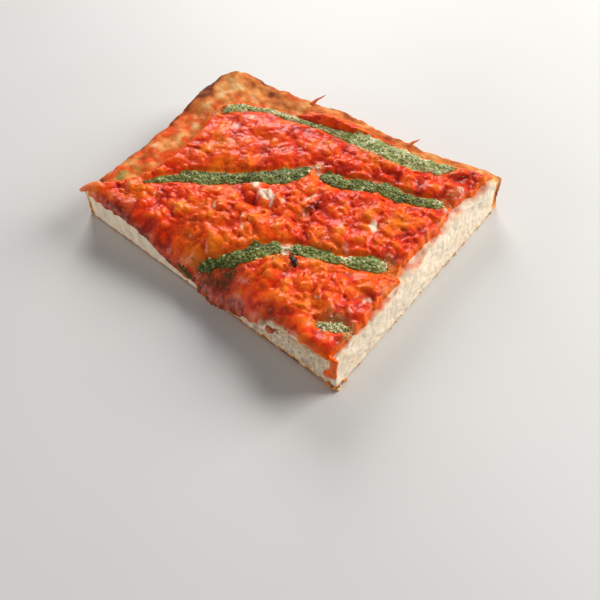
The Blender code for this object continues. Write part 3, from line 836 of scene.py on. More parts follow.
class Effects:
    """Shader effects that the finishes share."""

    def __init__(self) -> None:
        """Build each effect once."""
        self.mottle = self.make_mottle()
        self.flecks = self.make_flecks()
        self.relief = self.make_relief()

    @staticmethod
    def start(name: str, inputs: dict[str, float], output: str) -> tuple[Sheet, dict, bpy.types.Node]:
        """An empty effect.

        Args:
            name: Name of the effect.
            inputs: Its inputs with their usual values.
            output: Name of its one output.

        Returns:
            The sheet of its nodes, its input sockets and its output node.
        """
        tree = bpy.data.node_groups.new(name, "ShaderNodeTree")
        for label, value in inputs.items():
            socket = tree.interface.new_socket(name=label, in_out="INPUT", socket_type="NodeSocketFloat")
            socket.default_value = value
        tree.interface.new_socket(name=output, in_out="OUTPUT", socket_type="NodeSocketFloat")
        sheet = Sheet(tree)
        return sheet, sheet.add("NodeGroupInput").outputs, sheet.add("NodeGroupOutput")

    def make_mottle(self) -> bpy.types.NodeTree:
        """Soft uneven patches between two limits of a noise.

        Returns:
            The node group.
        """
        usual = {"Scale": 200.0, "Detail": 3.0, "Low": 0.4, "High": 0.6}
        sheet, given, out = self.start("mottle", usual, "Mask")
        place = sheet.add("ShaderNodeTexCoord").outputs["Object"]
        noise = sheet.add("ShaderNodeTexNoise", Vector=place, Scale=given["Scale"], Detail=given["Detail"])
        sheet.feed(out.inputs["Mask"], sheet.spread(noise.outputs["Fac"], given["Low"], given["High"]))
        return sheet.tree

    def make_flecks(self) -> bpy.types.NodeTree:
        """Small scattered flecks; only a share of the cells has one.

        Returns:
            The node group.
        """
        sheet, given, out = self.start("flecks", {"Scale": 400.0, "Size": 0.3, "Share": 0.3}, "Mask")
        place = sheet.add("ShaderNodeTexCoord").outputs["Object"]
        cells = sheet.add("ShaderNodeTexVoronoi", Vector=place, Scale=given["Scale"])
        near = sheet.math("LESS_THAN", cells.outputs["Distance"], given["Size"])
        chance = sheet.add("ShaderNodeSeparateColor", Color=cells.outputs["Color"]).outputs[0]
        sheet.feed(out.inputs["Mask"], sheet.times(near, sheet.math("LESS_THAN", chance, given["Share"])))
        return sheet.tree

    def make_relief(self) -> bpy.types.NodeTree:
        """Fine uneven height: broad waves with small grains in them.

        Returns:
            The node group.
        """
        usual = {"Scale": 600.0, "Grain Scale": 1800.0, "Grain": 0.4}
        sheet, given, out = self.start("fine_relief", usual, "Height")
        place = sheet.add("ShaderNodeTexCoord").outputs["Object"]
        broad = sheet.add("ShaderNodeTexNoise", Vector=place, Scale=given["Scale"], Detail=4.0)
        grain = sheet.add("ShaderNodeTexVoronoi", Vector=place, Scale=given["Grain Scale"])
        grains = sheet.times(grain.outputs["Distance"], given["Grain"])
        sheet.feed(out.inputs["Height"], sheet.math("ADD", broad.outputs["Fac"], grains))
        return sheet.tree


@dataclass(frozen=True)
class Finish:
    """What every finish has: a name, and values that are the same all over it."""

    name: str
    roughness: float = 0.5
    coat: float = 0.0
    coat_roughness: float = 0.1
    specular: float = 0.5
    subsurface: float = 0.0
    subsurface_radius: tuple[float, float, float] = (1.0, 0.4, 0.2)
    subsurface_depth: float = 0.0015

    def build(self, effects: Effects) -> bpy.types.Material:
        """Make the material: even values on the shader, then what differs over the surface.

        Args:
            effects: The shared effects.

        Returns:
            The material.
        """
        material = bpy.data.materials.new(self.name)
        material.use_nodes = True
        shader = material.node_tree.nodes["Principled BSDF"]
        even_values = {
            "Roughness": self.roughness, "Coat Weight": self.coat, "Coat Roughness": self.coat_roughness,
            "Specular IOR Level": self.specular, "Subsurface Weight": self.subsurface,
            "Subsurface Radius": self.subsurface_radius, "Subsurface Scale": self.subsurface_depth}
        for name, value in even_values.items():
            shader.inputs[name].default_value = value
        self.dress(Sheet(material.node_tree), shader, effects)
        return material

    def dress(self, sheet: Sheet, shader: bpy.types.Node, effects: Effects) -> None:
        """Add what differs over the surface, which in a plain finish is nothing."""

    @staticmethod
    def bump(sheet: Sheet, shader: bpy.types.Node, height: bpy.types.NodeSocket, strength: float,
             distance: float) -> None:
        """Let a height shape the fine relief of a material."""
        node = sheet.add("ShaderNodeBump", Strength=strength, Distance=distance, Height=height)
        sheet.feed(shader.inputs["Normal"], node.outputs["Normal"])


@dataclass(frozen=True)
class BreadFinish(Finish):
    """Pale crumb on the cut sides and baked crust elsewhere; the mesh says which by its masks."""

    crumb: Colour = display(250, 238, 218)
    cream: Colour = display(240, 202, 142)
    peach: Colour = display(234, 158, 86)
    golden: Colour = display(206, 112, 44)
    dark: Colour = display(112, 52, 20)
    stain: Colour = display(236, 76, 10)
    # Pore colour: a random darker crumb tone, and painted shade deep in the pores.
    pore: Colour = display(206, 164, 112)
    # Painted shade for the crevices of the torn crumb.
    crevice_shade: Colour = display(158, 122, 80)
    herb: Colour = display(158, 152, 66)
    char: Colour = display(34, 20, 18)

    def dress(self, sheet: Sheet, shader: bpy.types.Node, effects: Effects) -> None:
        """Colour the bread by how far it is baked, torn, stained or burnt, with painted shade in its pores
        and crevices.

        Args:
            sheet: The material's nodes.
            shader: Its shader.
            effects: The shared effects.
        """
        uneven = sheet.effect(effects.mottle, Scale=260.0, Detail=4.0, Low=0.3, High=0.7)
        fine = sheet.effect(effects.mottle, Scale=900.0, Detail=3.0, Low=0.3, High=0.7)
        bake = sheet.mask("bake")
        shift = sheet.times(sheet.math("SUBTRACT", uneven, 0.5), 0.22)
        baked = sheet.math("ADD", bake, sheet.times(shift, sheet.spread(bake, 0.1, 0.5)), clamp=True)
        colour = sheet.ramp(baked, ((0.0, self.crumb), (0.26, self.cream), (0.5, self.peach),
                                    (0.74, self.golden), (1.0, self.dark)))
        worn = sheet.times(fine, sheet.spread(bake, 0.3, 0.9, 0.1, 0.0))
        colour = sheet.mix(worn, colour, self.pore)
        # Painted shade: the pore colour darkens the crumb where it lies deep in a pore.
        colour = sheet.mix(sheet.times(sheet.mask("pore_shade"), 0.3), colour, self.pore)
        torn = sheet.mask("torn")
        grainy = sheet.effect(effects.mottle, Scale=620.0, Detail=5.0, Low=0.38, High=0.74)
        # Painted shade in the crevices of the torn crumb on the left cut side, in grainy patches.
        colour = sheet.mix(sheet.times(grainy, sheet.times(torn, 0.62)), colour, self.crevice_shade)
        colour = sheet.mix(sheet.mask("herb"), colour, self.herb)
        stained = sheet.times(sheet.mask("stain"), sheet.spread(uneven, 0.0, 0.9, 0.5, 1.0))
        colour = sheet.mix(stained, colour, self.stain)
        colour = sheet.mix(sheet.mask("char"), colour, self.char)
        sheet.feed(shader.inputs["Base Color"], colour)
        sheet.feed(shader.inputs["Roughness"], sheet.spread(bake, 0.15, 0.6, 0.85, 0.72))
        height = sheet.effect(effects.relief, Scale=620.0, Grain_Scale=1150.0, Grain=0.5)
        height = sheet.times(height, sheet.spread(bake, 0.1, 0.35, 0.95, 0.6))
        height = sheet.math("ADD", height, sheet.times(grainy, sheet.times(torn, -1.7)))
        self.bump(sheet, shader, height, 0.42, 0.0004)


@dataclass(frozen=True)
class SauceFinish(Finish):
    """Cooked tomato with melted cheese: deep red and painted shade in the creases, orange and painted
    highlight on the lumps, oily and glossy.
    """

    # Deep red: the sauce's own darkest tone, and painted shade in creases and hollows.
    deep: Colour = display(170, 28, 4)
    red: Colour = display(232, 54, 4)
    orange: Colour = display(253, 88, 2)
    # Light orange: the sauce's oily tone, and painted highlight on the lump tops.
    light: Colour = display(255, 134, 34)
    oil: Colour = display(255, 142, 12)
    cheese: Colour = display(250, 226, 196)
    # Dark red-purple skin of the baked sauce, and painted shade on the steep left edge.
    maroon: Colour = display(122, 30, 16)
    # Rosy skin, and painted sheen on the dark edge.
    pink_skin_and_sheen: Colour = display(194, 92, 70)
    char: Colour = display(26, 16, 18)
    herb: Colour = display(66, 58, 22)
    pale_herb: Colour = display(150, 164, 108)

    def dress(self, sheet: Sheet, shader: bpy.types.Node, effects: Effects) -> None:
        """Colour the sauce by its lumps with painted shade and highlight, and put oil, dark skin with painted
        shade, cheese, herbs and burnt places on it.

        Args:
            sheet: The material's nodes.
            shader: Its shader.
            effects: The shared effects.
        """
        uneven = sheet.effect(effects.mottle, Scale=150.0, Detail=4.0, Low=0.3, High=0.7)
        fine = sheet.effect(effects.mottle, Scale=620.0, Detail=4.0, Low=0.3, High=0.7)
        shift = sheet.times(sheet.math("SUBTRACT", fine, 0.5), 0.22)
        lift = sheet.math("ADD", sheet.mask("lift"), shift, clamp=True)
        # Painted shade and highlight: low lift takes the deep red and high lift the light orange, beside the
        # sauce's own tones.
        colour = sheet.ramp(lift, ((0.0, self.deep), (0.34, self.red), (0.62, self.orange),
                                   (1.0, self.light)))
        oil = sheet.times(sheet.mask("oil"), sheet.spread(fine, 0.0, 1.0, 0.55, 1.0))
        colour = sheet.mix(oil, colour, self.oil)
        colour = sheet.mix(sheet.times(uneven, 0.2), colour, self.red)
        streaky = sheet.effect(effects.mottle, Scale=360.0, Detail=5.0, Low=0.42, High=0.66)
        maroon = sheet.mask("maroon")
        # Dark skin and painted shade along the left edge, streaked with rosy skin and painted sheen.
        colour = sheet.mix(sheet.times(maroon, 0.92), colour, sheet.mix(streaky, self.maroon, self.pink_skin_and_sheen))
        # Cheese, and pale streaks that are painted highlights.
        colour = sheet.mix(sheet.mask("cheese"), colour, self.cheese)
        specks = sheet.effect(effects.mottle, Scale=1300.0, Detail=2.0, Low=0.42, High=0.58)
        herb = sheet.times(sheet.mask("herb"), sheet.spread(specks, 0.0, 1.0, 0.35, 1.0))
        colour = sheet.mix(herb, colour, sheet.mix(sheet.mask("pale"), self.herb, self.pale_herb))
        fleck = sheet.effect(effects.flecks, Scale=420.0, Size=0.2, Share=0.03)
        colour = sheet.mix(sheet.times(fleck, 0.7), colour, self.herb)
        colour = sheet.mix(sheet.mask("char"), colour, self.char)
        sheet.feed(shader.inputs["Base Color"], colour)
        wet = sheet.math("SUBTRACT", self.coat, sheet.times(maroon, 0.7 * self.coat), clamp=True)
        sheet.feed(shader.inputs["Coat Weight"], wet)
        rough = sheet.math("ADD", sheet.spread(fine, 0.2, 0.9, 0.3, 0.52), sheet.times(maroon, 0.14))
        sheet.feed(shader.inputs["Roughness"], rough)
        height = sheet.effect(effects.relief, Scale=560.0, Grain_Scale=1500.0, Grain=0.45)
        self.bump(sheet, shader, height, 0.42, 0.0005)


@dataclass(frozen=True)
class PestoFinish(Finish):
    """Chopped pesto: each grain has its own green, and a few are yellow or nearly white."""

    dark: Colour = display(60, 66, 22)
    mid: Colour = display(116, 126, 52)
    green: Colour = display(146, 156, 82)
    pale: Colour = display(192, 198, 146)
    yellow: Colour = display(206, 190, 92)
    white: Colour = display(244, 240, 220)

    def dress(self, sheet: Sheet, shader: bpy.types.Node, effects: Effects) -> None:
        """Colour each grain by its shade.

        Args:
            sheet: The material's nodes.
            shader: Its shader.
            effects: The shared effects.
        """
        fine = sheet.effect(effects.mottle, Scale=1100.0, Detail=3.0, Low=0.3, High=0.7)
        shift = sheet.times(sheet.math("SUBTRACT", fine, 0.5), 0.25)
        shade = sheet.math("ADD", sheet.mask("shade"), shift)
        colour = sheet.ramp(shade, ((0.0, self.dark), (0.3, self.mid), (0.55, self.green), (0.78, self.pale),
                                    (0.9, self.yellow), (1.0, self.white)))
        sheet.feed(shader.inputs["Base Color"], colour)
        sheet.feed(shader.inputs["Roughness"], sheet.spread(fine, 0.0, 1.0, 0.3, 0.6))
        height = sheet.effect(effects.relief, Scale=900.0, Grain_Scale=1600.0, Grain=0.8)
        self.bump(sheet, shader, height, 0.6, 0.0004)


@dataclass(frozen=True)
class FloorFinish(Finish):
    """A plain pale floor with a barely uneven tone."""

    light: Colour = display(222, 221, 219)
    shade: Colour = display(218, 217, 214)

    def dress(self, sheet: Sheet, shader: bpy.types.Node, effects: Effects) -> None:
        """Mix the two tones in broad soft patches."""
        uneven = sheet.effect(effects.mottle, Scale=6.0, Detail=2.0, Low=0.3, High=0.7)
        sheet.feed(shader.inputs["Base Color"], sheet.mix(uneven, self.light, self.shade))


@dataclass
class BreadBase:
    """The bread: open crumb on the two cut sides, crust on the outer sides, the rim and the underside."""

    plan: SlicePlan
    material: bpy.types.Material
    cells: Cells = Cells(168, 188, 22, 24, 6, 6, 36)
    edge_rows: int = 3
    underside_rings: tuple[float, ...] = (0.985, 0.95, 0.88, 0.74, 0.5, 0.25)
    pore: float = 0.6
    small_pore: float = 0.26
    sponge: float = 0.42
    blister: float = 0.8
    crust_layer: float = 0.6
    brown_spots: Rows = (
        (75, 140.6, 7.4, 5, 10, 0.8), (67, 140.6, 7, 2.6, 0, 0.6), (90, 141, 9, 2.8, -12, 0.4),
        (84, 126.4, 4, 2, -10, 0.22), (94, 128.4, 2.6, 3.4, 0, 0.3), (97, 115, 2.4, 2.4, 0, 0.26),
        (104.3, 53, 2, 3, 0, 0.4), (30, 138.4, 26, 1.2, 0, 0.26), (58, 138.6, 8, 2, 5, 0.26),
        (117, 5, 1.6, 5, 0, 0.3), (107, 40, 2, 5, 0, 0.24), (101, 126, 2.4, 12, 0, 0.22),
        (106.4, 84, 1.6, 16, 0, 0.2))
    lumps: Rows = (
        (87.6, 130.2, 5, 4, 0, 0.9), (91.3, 120.7, 4.4, 3.4, 0, 0.8), (36.8, 132.9, 4.4, 2.6, 0, 0.9),
        (50, 129.4, 4, 2.2, 0, 0.8), (67.8, 137.4, 3.6, 2.8, 0, 0.9), (80, 134, 3.4, 3, 0, 0.5),
        (23, 133, 3.6, 2.2, 0, 0.7), (104, 66, 1.4, 10, 0, 0.3), (80, 130, 3, 2, 0, 0.4),
        (59, 128.6, 5, 1.5, 10, 0.9), (42, 127.4, 6, 1.6, 0, 0.8), (29, 127, 4, 1.4, -6, 0.7),
        (70, 131.6, 3.4, 2, 0, 0.8), (14, 133.6, 3, 1.6, 0, 0.6))
    herb_spots: Rows = ((14, 131.4, 6, 2, 0, 0.9), (23, 128.6, 4, 1.6, 0, 0.5))
    burnt_spots: Rows = ((5.6, 135.8, 3.6, 1.6, -20, 1.7),)
    stains: Rows = (
        (56, 133.2, 6.6, 3, 10, 1.7), (44.6, 135.2, 5.6, 2.2, 6, 1.2), (30, 134.8, 4.4, 1.6, 0, 0.9),
        (28.2, 130, 5, 2.4, 0, 0.6), (64.7, 129.4, 5, 2.6, 0, 0.6), (91.5, 114.5, 4, 2.4, 0, 0.4),
        (100, 106, 2.6, 6, 0, 0.5), (55, 4.5, 3.2, 1.6, 0, 0.8), (61, 5.2, 2, 1.2, 0, 0.5),
        (102.6, 78, 1.8, 12, 0, 0.5), (9, 136, 4, 1.4, 0, 0.4), (88, 6, 4, 1.2, 0, 0.3),
        (32, 2.6, 5, 0.9, 0, 0.3), (104, 26, 1.4, 8, 0, 0.3))

    def build(self) -> bpy.types.Object:
        """Make the bread.

        Returns:
            The finished piece.
        """
        points, faces, sides, rows = self.skin()
        normals = point_normals(points, faces)
        crumb = self.crumb_mask(points, sides, rows)
        moved, pore_shade = self.roughen(points, normals, crumb)
        masks = self.masks(points, crumb, rows, sides)
        masks["pore_shade"] = pore_shade
        left_wall = (points[:, 0] < 4.0) * (sides != Part.FRONT)
        masks["torn"] = crumb * left_wall * smooth((78.0 - points[:, 1]) / 40.0)
        return make_piece("focaccia_bread", moved, faces, masks, self.material, ["focaccia_base"])

    def skin(self) -> tuple[Array, list, Array, Array]:
        """The smooth bread as one closed body.

        Returns:
            Points, faces, the Part that each point belongs to, and how far down its side each point is,
            from 0 to 1.
        """
        cells, plan = self.cells, self.plan
        rim, ground, edge = plan.outline(cells)
        top = plan.top(edge, cells)
        across, along = top.shape[:2]
        edges = {Edge.FRONT: top[:, 0], Edge.BACK: top[:, -1], Edge.LEFT: top[0], Edge.RIGHT: top[-1]}
        columns = {side: self.side_rows(edges[side], rim[side], ground[side]) for side in Edge}
        columns[Edge.FRONT][:, 0] = columns[Edge.LEFT][:, 0]
        columns[Edge.BACK][:, 0] = columns[Edge.LEFT][:, -1]
        ring = Shapes.border(across, along)
        rings = []
        for k in range(columns[Edge.LEFT].shape[0]):
            rings.append([self.ring_point(columns, k, i, j, across, along) for i, j in ring])
        rings = np.array(rings)
        middle = np.array([*(rings[-1, :, :2].mean(0)), 0.0])
        under = [middle + (rings[-1] - middle) * share for share in self.underside_rings]
        body = np.concatenate([rings, np.array(under)])
        count, layers = len(ring), len(body)
        points = np.concatenate([top.reshape(-1, 3), body.reshape(-1, 3), middle[None]])
        start = across * along
        faces = Shapes.grid(across, along).tolist()
        numbers = np.concatenate([np.array([i * along + j for i, j in ring])[None],
                                  start + np.arange(layers * count).reshape(layers, count)])
        nearer, farther = numbers[:-1], numbers[1:]
        quads = np.stack([nearer, farther, np.roll(farther, -1, 1), np.roll(nearer, -1, 1)], -1)
        faces += quads.reshape(-1, 4).tolist()
        last, tip = numbers[-1], len(points) - 1
        faces += [[int(a), tip, int(b)] for a, b in zip(last, np.roll(last, -1))]
        kind = [Part.FRONT if j == 0 else Part.OUTER if i == across - 1 or j == along - 1 else Part.LEFT
                for i, j in ring]
        low_points = len(under) * count + 1
        side = np.concatenate([np.full(start, int(Part.TOP)), np.tile(np.array(kind, int), len(rings)),
                               np.full(low_points, int(Part.UNDERSIDE))])
        down = np.repeat(np.arange(1, len(rings) + 1) / len(rings), count)
        row = np.concatenate([np.zeros(start), down, np.ones(low_points)])
        return points, faces, side, row

    @staticmethod
    def ring_point(columns: dict[Edge, Array], k: int, i: int, j: int, across: int, along: int) -> Array:
        """Point of one ring at one place of the border.

        Args:
            columns: Rows of points of each side.
            k: Number of the ring.
            i: Place across.
            j: Place along.
            across: Points across.
            along: Points along.

        Returns:
            The point.
        """
        if j == 0 and i > 0:
            return columns[Edge.FRONT][k, i]
        if i == across - 1:
            return columns[Edge.RIGHT][k, j]
        if j == along - 1:
            return columns[Edge.BACK][k, i]
        return columns[Edge.LEFT][k, j]

    def side_rows(self, edge: Array, rim: Array, ground: Array) -> Array:
        """Rows of points down one side: its shoulder, its wall and the rounded lower edge.

        Args:
            edge: Edge of the top.
            rim: Rim of the side.
            ground: Edge of the underside.

        Returns:
            The rows, from the top down.
        """
        rows = self.plan.shoulder(edge, rim, self.cells.shoulder)
        foot, low = edge[:, 2] - rim[:, 2], self.plan.underside_edge
        for share in even(self.cells.face)[1:]:
            rows.append(self.plan.wall(edge, rim, ground, foot + (low - foot) * share))
        out = rim[:, :2] - edge[:, :2]
        away = out / np.linalg.norm(out, axis=1)[:, None]
        for k in range(1, self.edge_rows + 1):
            turn = math.pi / 2 * k / self.edge_rows
            place = ground - away * low * (1 - math.cos(turn))
            rows.append(np.column_stack([place, np.full(len(place), low * (1 - math.sin(turn)))]))
        return np.array(rows)

    def crumb_mask(self, points: Array, side: Array, row: Array) -> Array:
        """1 where a cut side shows open crumb, 0 where there is crust.

        Args:
            points: Places on the skin.
            side: Part of each point.
            row: How far down its side it is.

        Returns:
            One value for each point.
        """
        cut = ((side == Part.FRONT) | (side == Part.LEFT)).astype(float)
        ragged = 0.5 * Waves.rolling(points, 3.0, 61) + 0.35 * Waves.rolling(points, 1.2, 62)
        near = (side == Part.LEFT) * smooth((70.0 - points[:, 1]) / 40.0)
        layer = self.crust_layer * np.where(side == Part.FRONT, 0.6, 1.1 + near)
        above = smooth((points[:, 2] - layer * (0.75 + 1.5 * ragged) - 0.35 * near) / 0.5)
        shoulder = smooth((row - 0.07) / 0.08)
        right_end = smooth((115.6 - points[:, 0] + 1.6 * ragged) / 1.6)
        left_end = smooth((137.4 - points[:, 1] + 1.6 * ragged) / 1.4)
        return cut * above * shoulder * right_end * left_end

    def roughen(self, points: Array, normals: Array, crumb: Array) -> tuple[Array, Array]:
        """Give the crumb its pores and the crust its blisters.

        Args:
            points: The smooth points.
            normals: Their normals.
            crumb: Where there is open crumb.

        Returns:
            The new points, and how deep each lies in a pore from 0 to 1, used as painted shade in the pores.
        """
        open_share = 1 - 0.75 * smooth((points[:, 1] - 55.0) / 30.0) * (points[:, 0] < 12)
        open_share *= np.where((points[:, 1] < 5.0) & (points[:, 0] > 3.0), 0.5, 1.0)
        squash = points * np.array([0.62, 0.62, 1.0])
        large = Waves.domes(squash, 4.2, 0.1, 0.5, 71)[0] ** 0.7
        small = Waves.domes(squash, 1.7, 0.2, 0.5, 72)[0]
        coarse = np.where(points[:, 0] < 3.0, 1.5 * smooth((75.0 - points[:, 1]) / 40.0), 0.3)
        torn = Waves.rolling(points, 2.3, 73, 2) + coarse * Waves.rolling(points, 5.0, 77, 2)
        inward = self.pore * large * open_share + self.small_pore * small * (0.4 + 0.6 * open_share)
        shape = -crumb * (inward + self.sponge * (0.4 + torn) * (0.4 + 0.6 * open_share))
        # How deep the crumb lies in pores and rough places, which the finish paints as shade.
        shade = np.clip(0.9 * large * open_share + 0.5 * small + 0.5 * coarse * (0.1 + torn), 0, 1)
        blisters = self.blisters(points) - 0.35
        blisters += spots(points[:, 0], points[:, 1], self.lumps) * (points[:, 2] > 12.0)
        crust = np.clip(1 - crumb, 0, 1) * smooth((points[:, 2] - 0.6) / 2.0)
        covered = smooth((self.plan_cover(points) + 1.2) / 1.6)
        shape += crust * covered * (self.blister * blisters + 0.3 * Waves.rolling(points, 4.0, 75, 3) - 0.15)
        return points + normals * shape[:, None], crumb * shade

    @staticmethod
    def blisters(points: Array) -> Array:
        """Blisters of the baked crust, from 0 to 1."""
        return Waves.domes(points, 6.4, 0.4, 0.95, 74)[0]

    def plan_cover(self, points: Array) -> Array:
        """How far the sauce's edge is from each point, counted below 0 under the sauce.

        Args:
            points: Places on the skin.

        Returns:
            The distances, below 0 under the sauce.
        """
        x, y = points[:, 0], points[:, 1]
        away = self.plan.sauce_distance(x, y)
        return np.where(self.under_sauce(x, y) & (points[:, 2] > 5.0), -away, away)

    def under_sauce(self, x: Array, y: Array) -> Array:
        """True inside the sauce's edge in plan.

        Args:
            x: Places across.
            y: Places along.

        Returns:
            True or false for each place.
        """
        front, right, back = (spline(line, even(SIDE_SAMPLES)) for line in (
            self.plan.sauce_front, self.plan.sauce_right, self.plan.sauce_back))
        loop = np.concatenate([front, right, back[::-1]])
        inside = np.zeros(len(x), bool)
        for (ax, ay), (bx, by) in zip(loop, np.roll(loop, -1, 0)):
            crosses = (ay > y) != (by > y)
            inside ^= crosses & (x < (bx - ax) * (y - ay) / (by - ay + 1e-12) + ax)
        return inside

    def masks(self, points: Array, crumb: Array, row: Array, side: Array) -> dict[str, Array]:
        """Where the bread is baked, stained with sauce or burnt.

        Args:
            points: Places on the skin.
            crumb: Open crumb, from 0 to 1.
            row: How far down its side each point is.
            side: Part of each point.

        Returns:
            The masks by name.
        """
        x, y, z = points.T
        slow, quick = Waves.rolling(points, 14.0, 81, 3), Waves.rolling(points, 4.5, 82, 2)
        bake = 0.7 + 0.2 * slow + 0.14 * quick - 0.14 * self.blisters(points) - 0.34 * spots(x, y, self.lumps)
        strip = (side == Part.TOP) & (y < 12.0)
        strip |= (side == Part.FRONT) & (row < 0.2)
        bake = np.where(strip, 0.09 + 0.1 * quick + 0.5 * smooth((x - 110.0) / 6.0), bake)
        bake = np.where(side == Part.OUTER, 0.72 + 0.16 * slow + 0.18 * smooth((3.0 - z) / 3.0), bake)
        bake = np.where(side == Part.UNDERSIDE, 0.74 + 0.2 * slow + 0.12 * quick, bake)
        upper = (side != Part.UNDERSIDE) * smooth((0.5 - row) / 0.4)
        bake += spots(x, y, self.brown_spots) * upper
        low_edge = (side == Part.FRONT) | (side == Part.LEFT)
        toast = 0.84 + 0.4 * quick - 0.5 * smooth(x / 24.0) * (side == Part.FRONT)
        bake = np.where(low_edge & (z < 3.0), toast, bake)
        bake = bake * (1 - crumb) + crumb * (0.04 + 0.08 * np.clip(quick, 0, 1))
        soak = np.exp(-np.clip(self.plan_cover(points), 0, 50) / np.where(y > 118.0, 3.8, 1.6)) * (z > 9.0)
        patchy = smooth((Waves.rolling(points, 7.5, 83, 2) - 0.06) / 0.14) * smooth((y - 119.0) / 4.0)
        patchy *= smooth((66.0 - x) / 10.0)
        stain = (spots(x, y, self.stains) + 0.8 * patchy) * smooth((0.16 - row) / 0.12)
        broken = smooth((Waves.rolling(points, 5.5, 85, 2) + 0.22) / 0.4)
        stain += 0.85 * soak * broken * smooth((0.2 - row) / 0.1)
        herb = spots(x, y, self.herb_spots) * (1 + 0.7 * quick)
        char = spots(x, y, self.burnt_spots) * (z > 9.0)
        return {"bake": np.clip(bake, 0, 1), "stain": np.clip(stain, 0, 0.92), "char": np.clip(char, 0, 0.92),
                "herb": np.clip(herb, 0, 0.8) * (side == Part.TOP)}


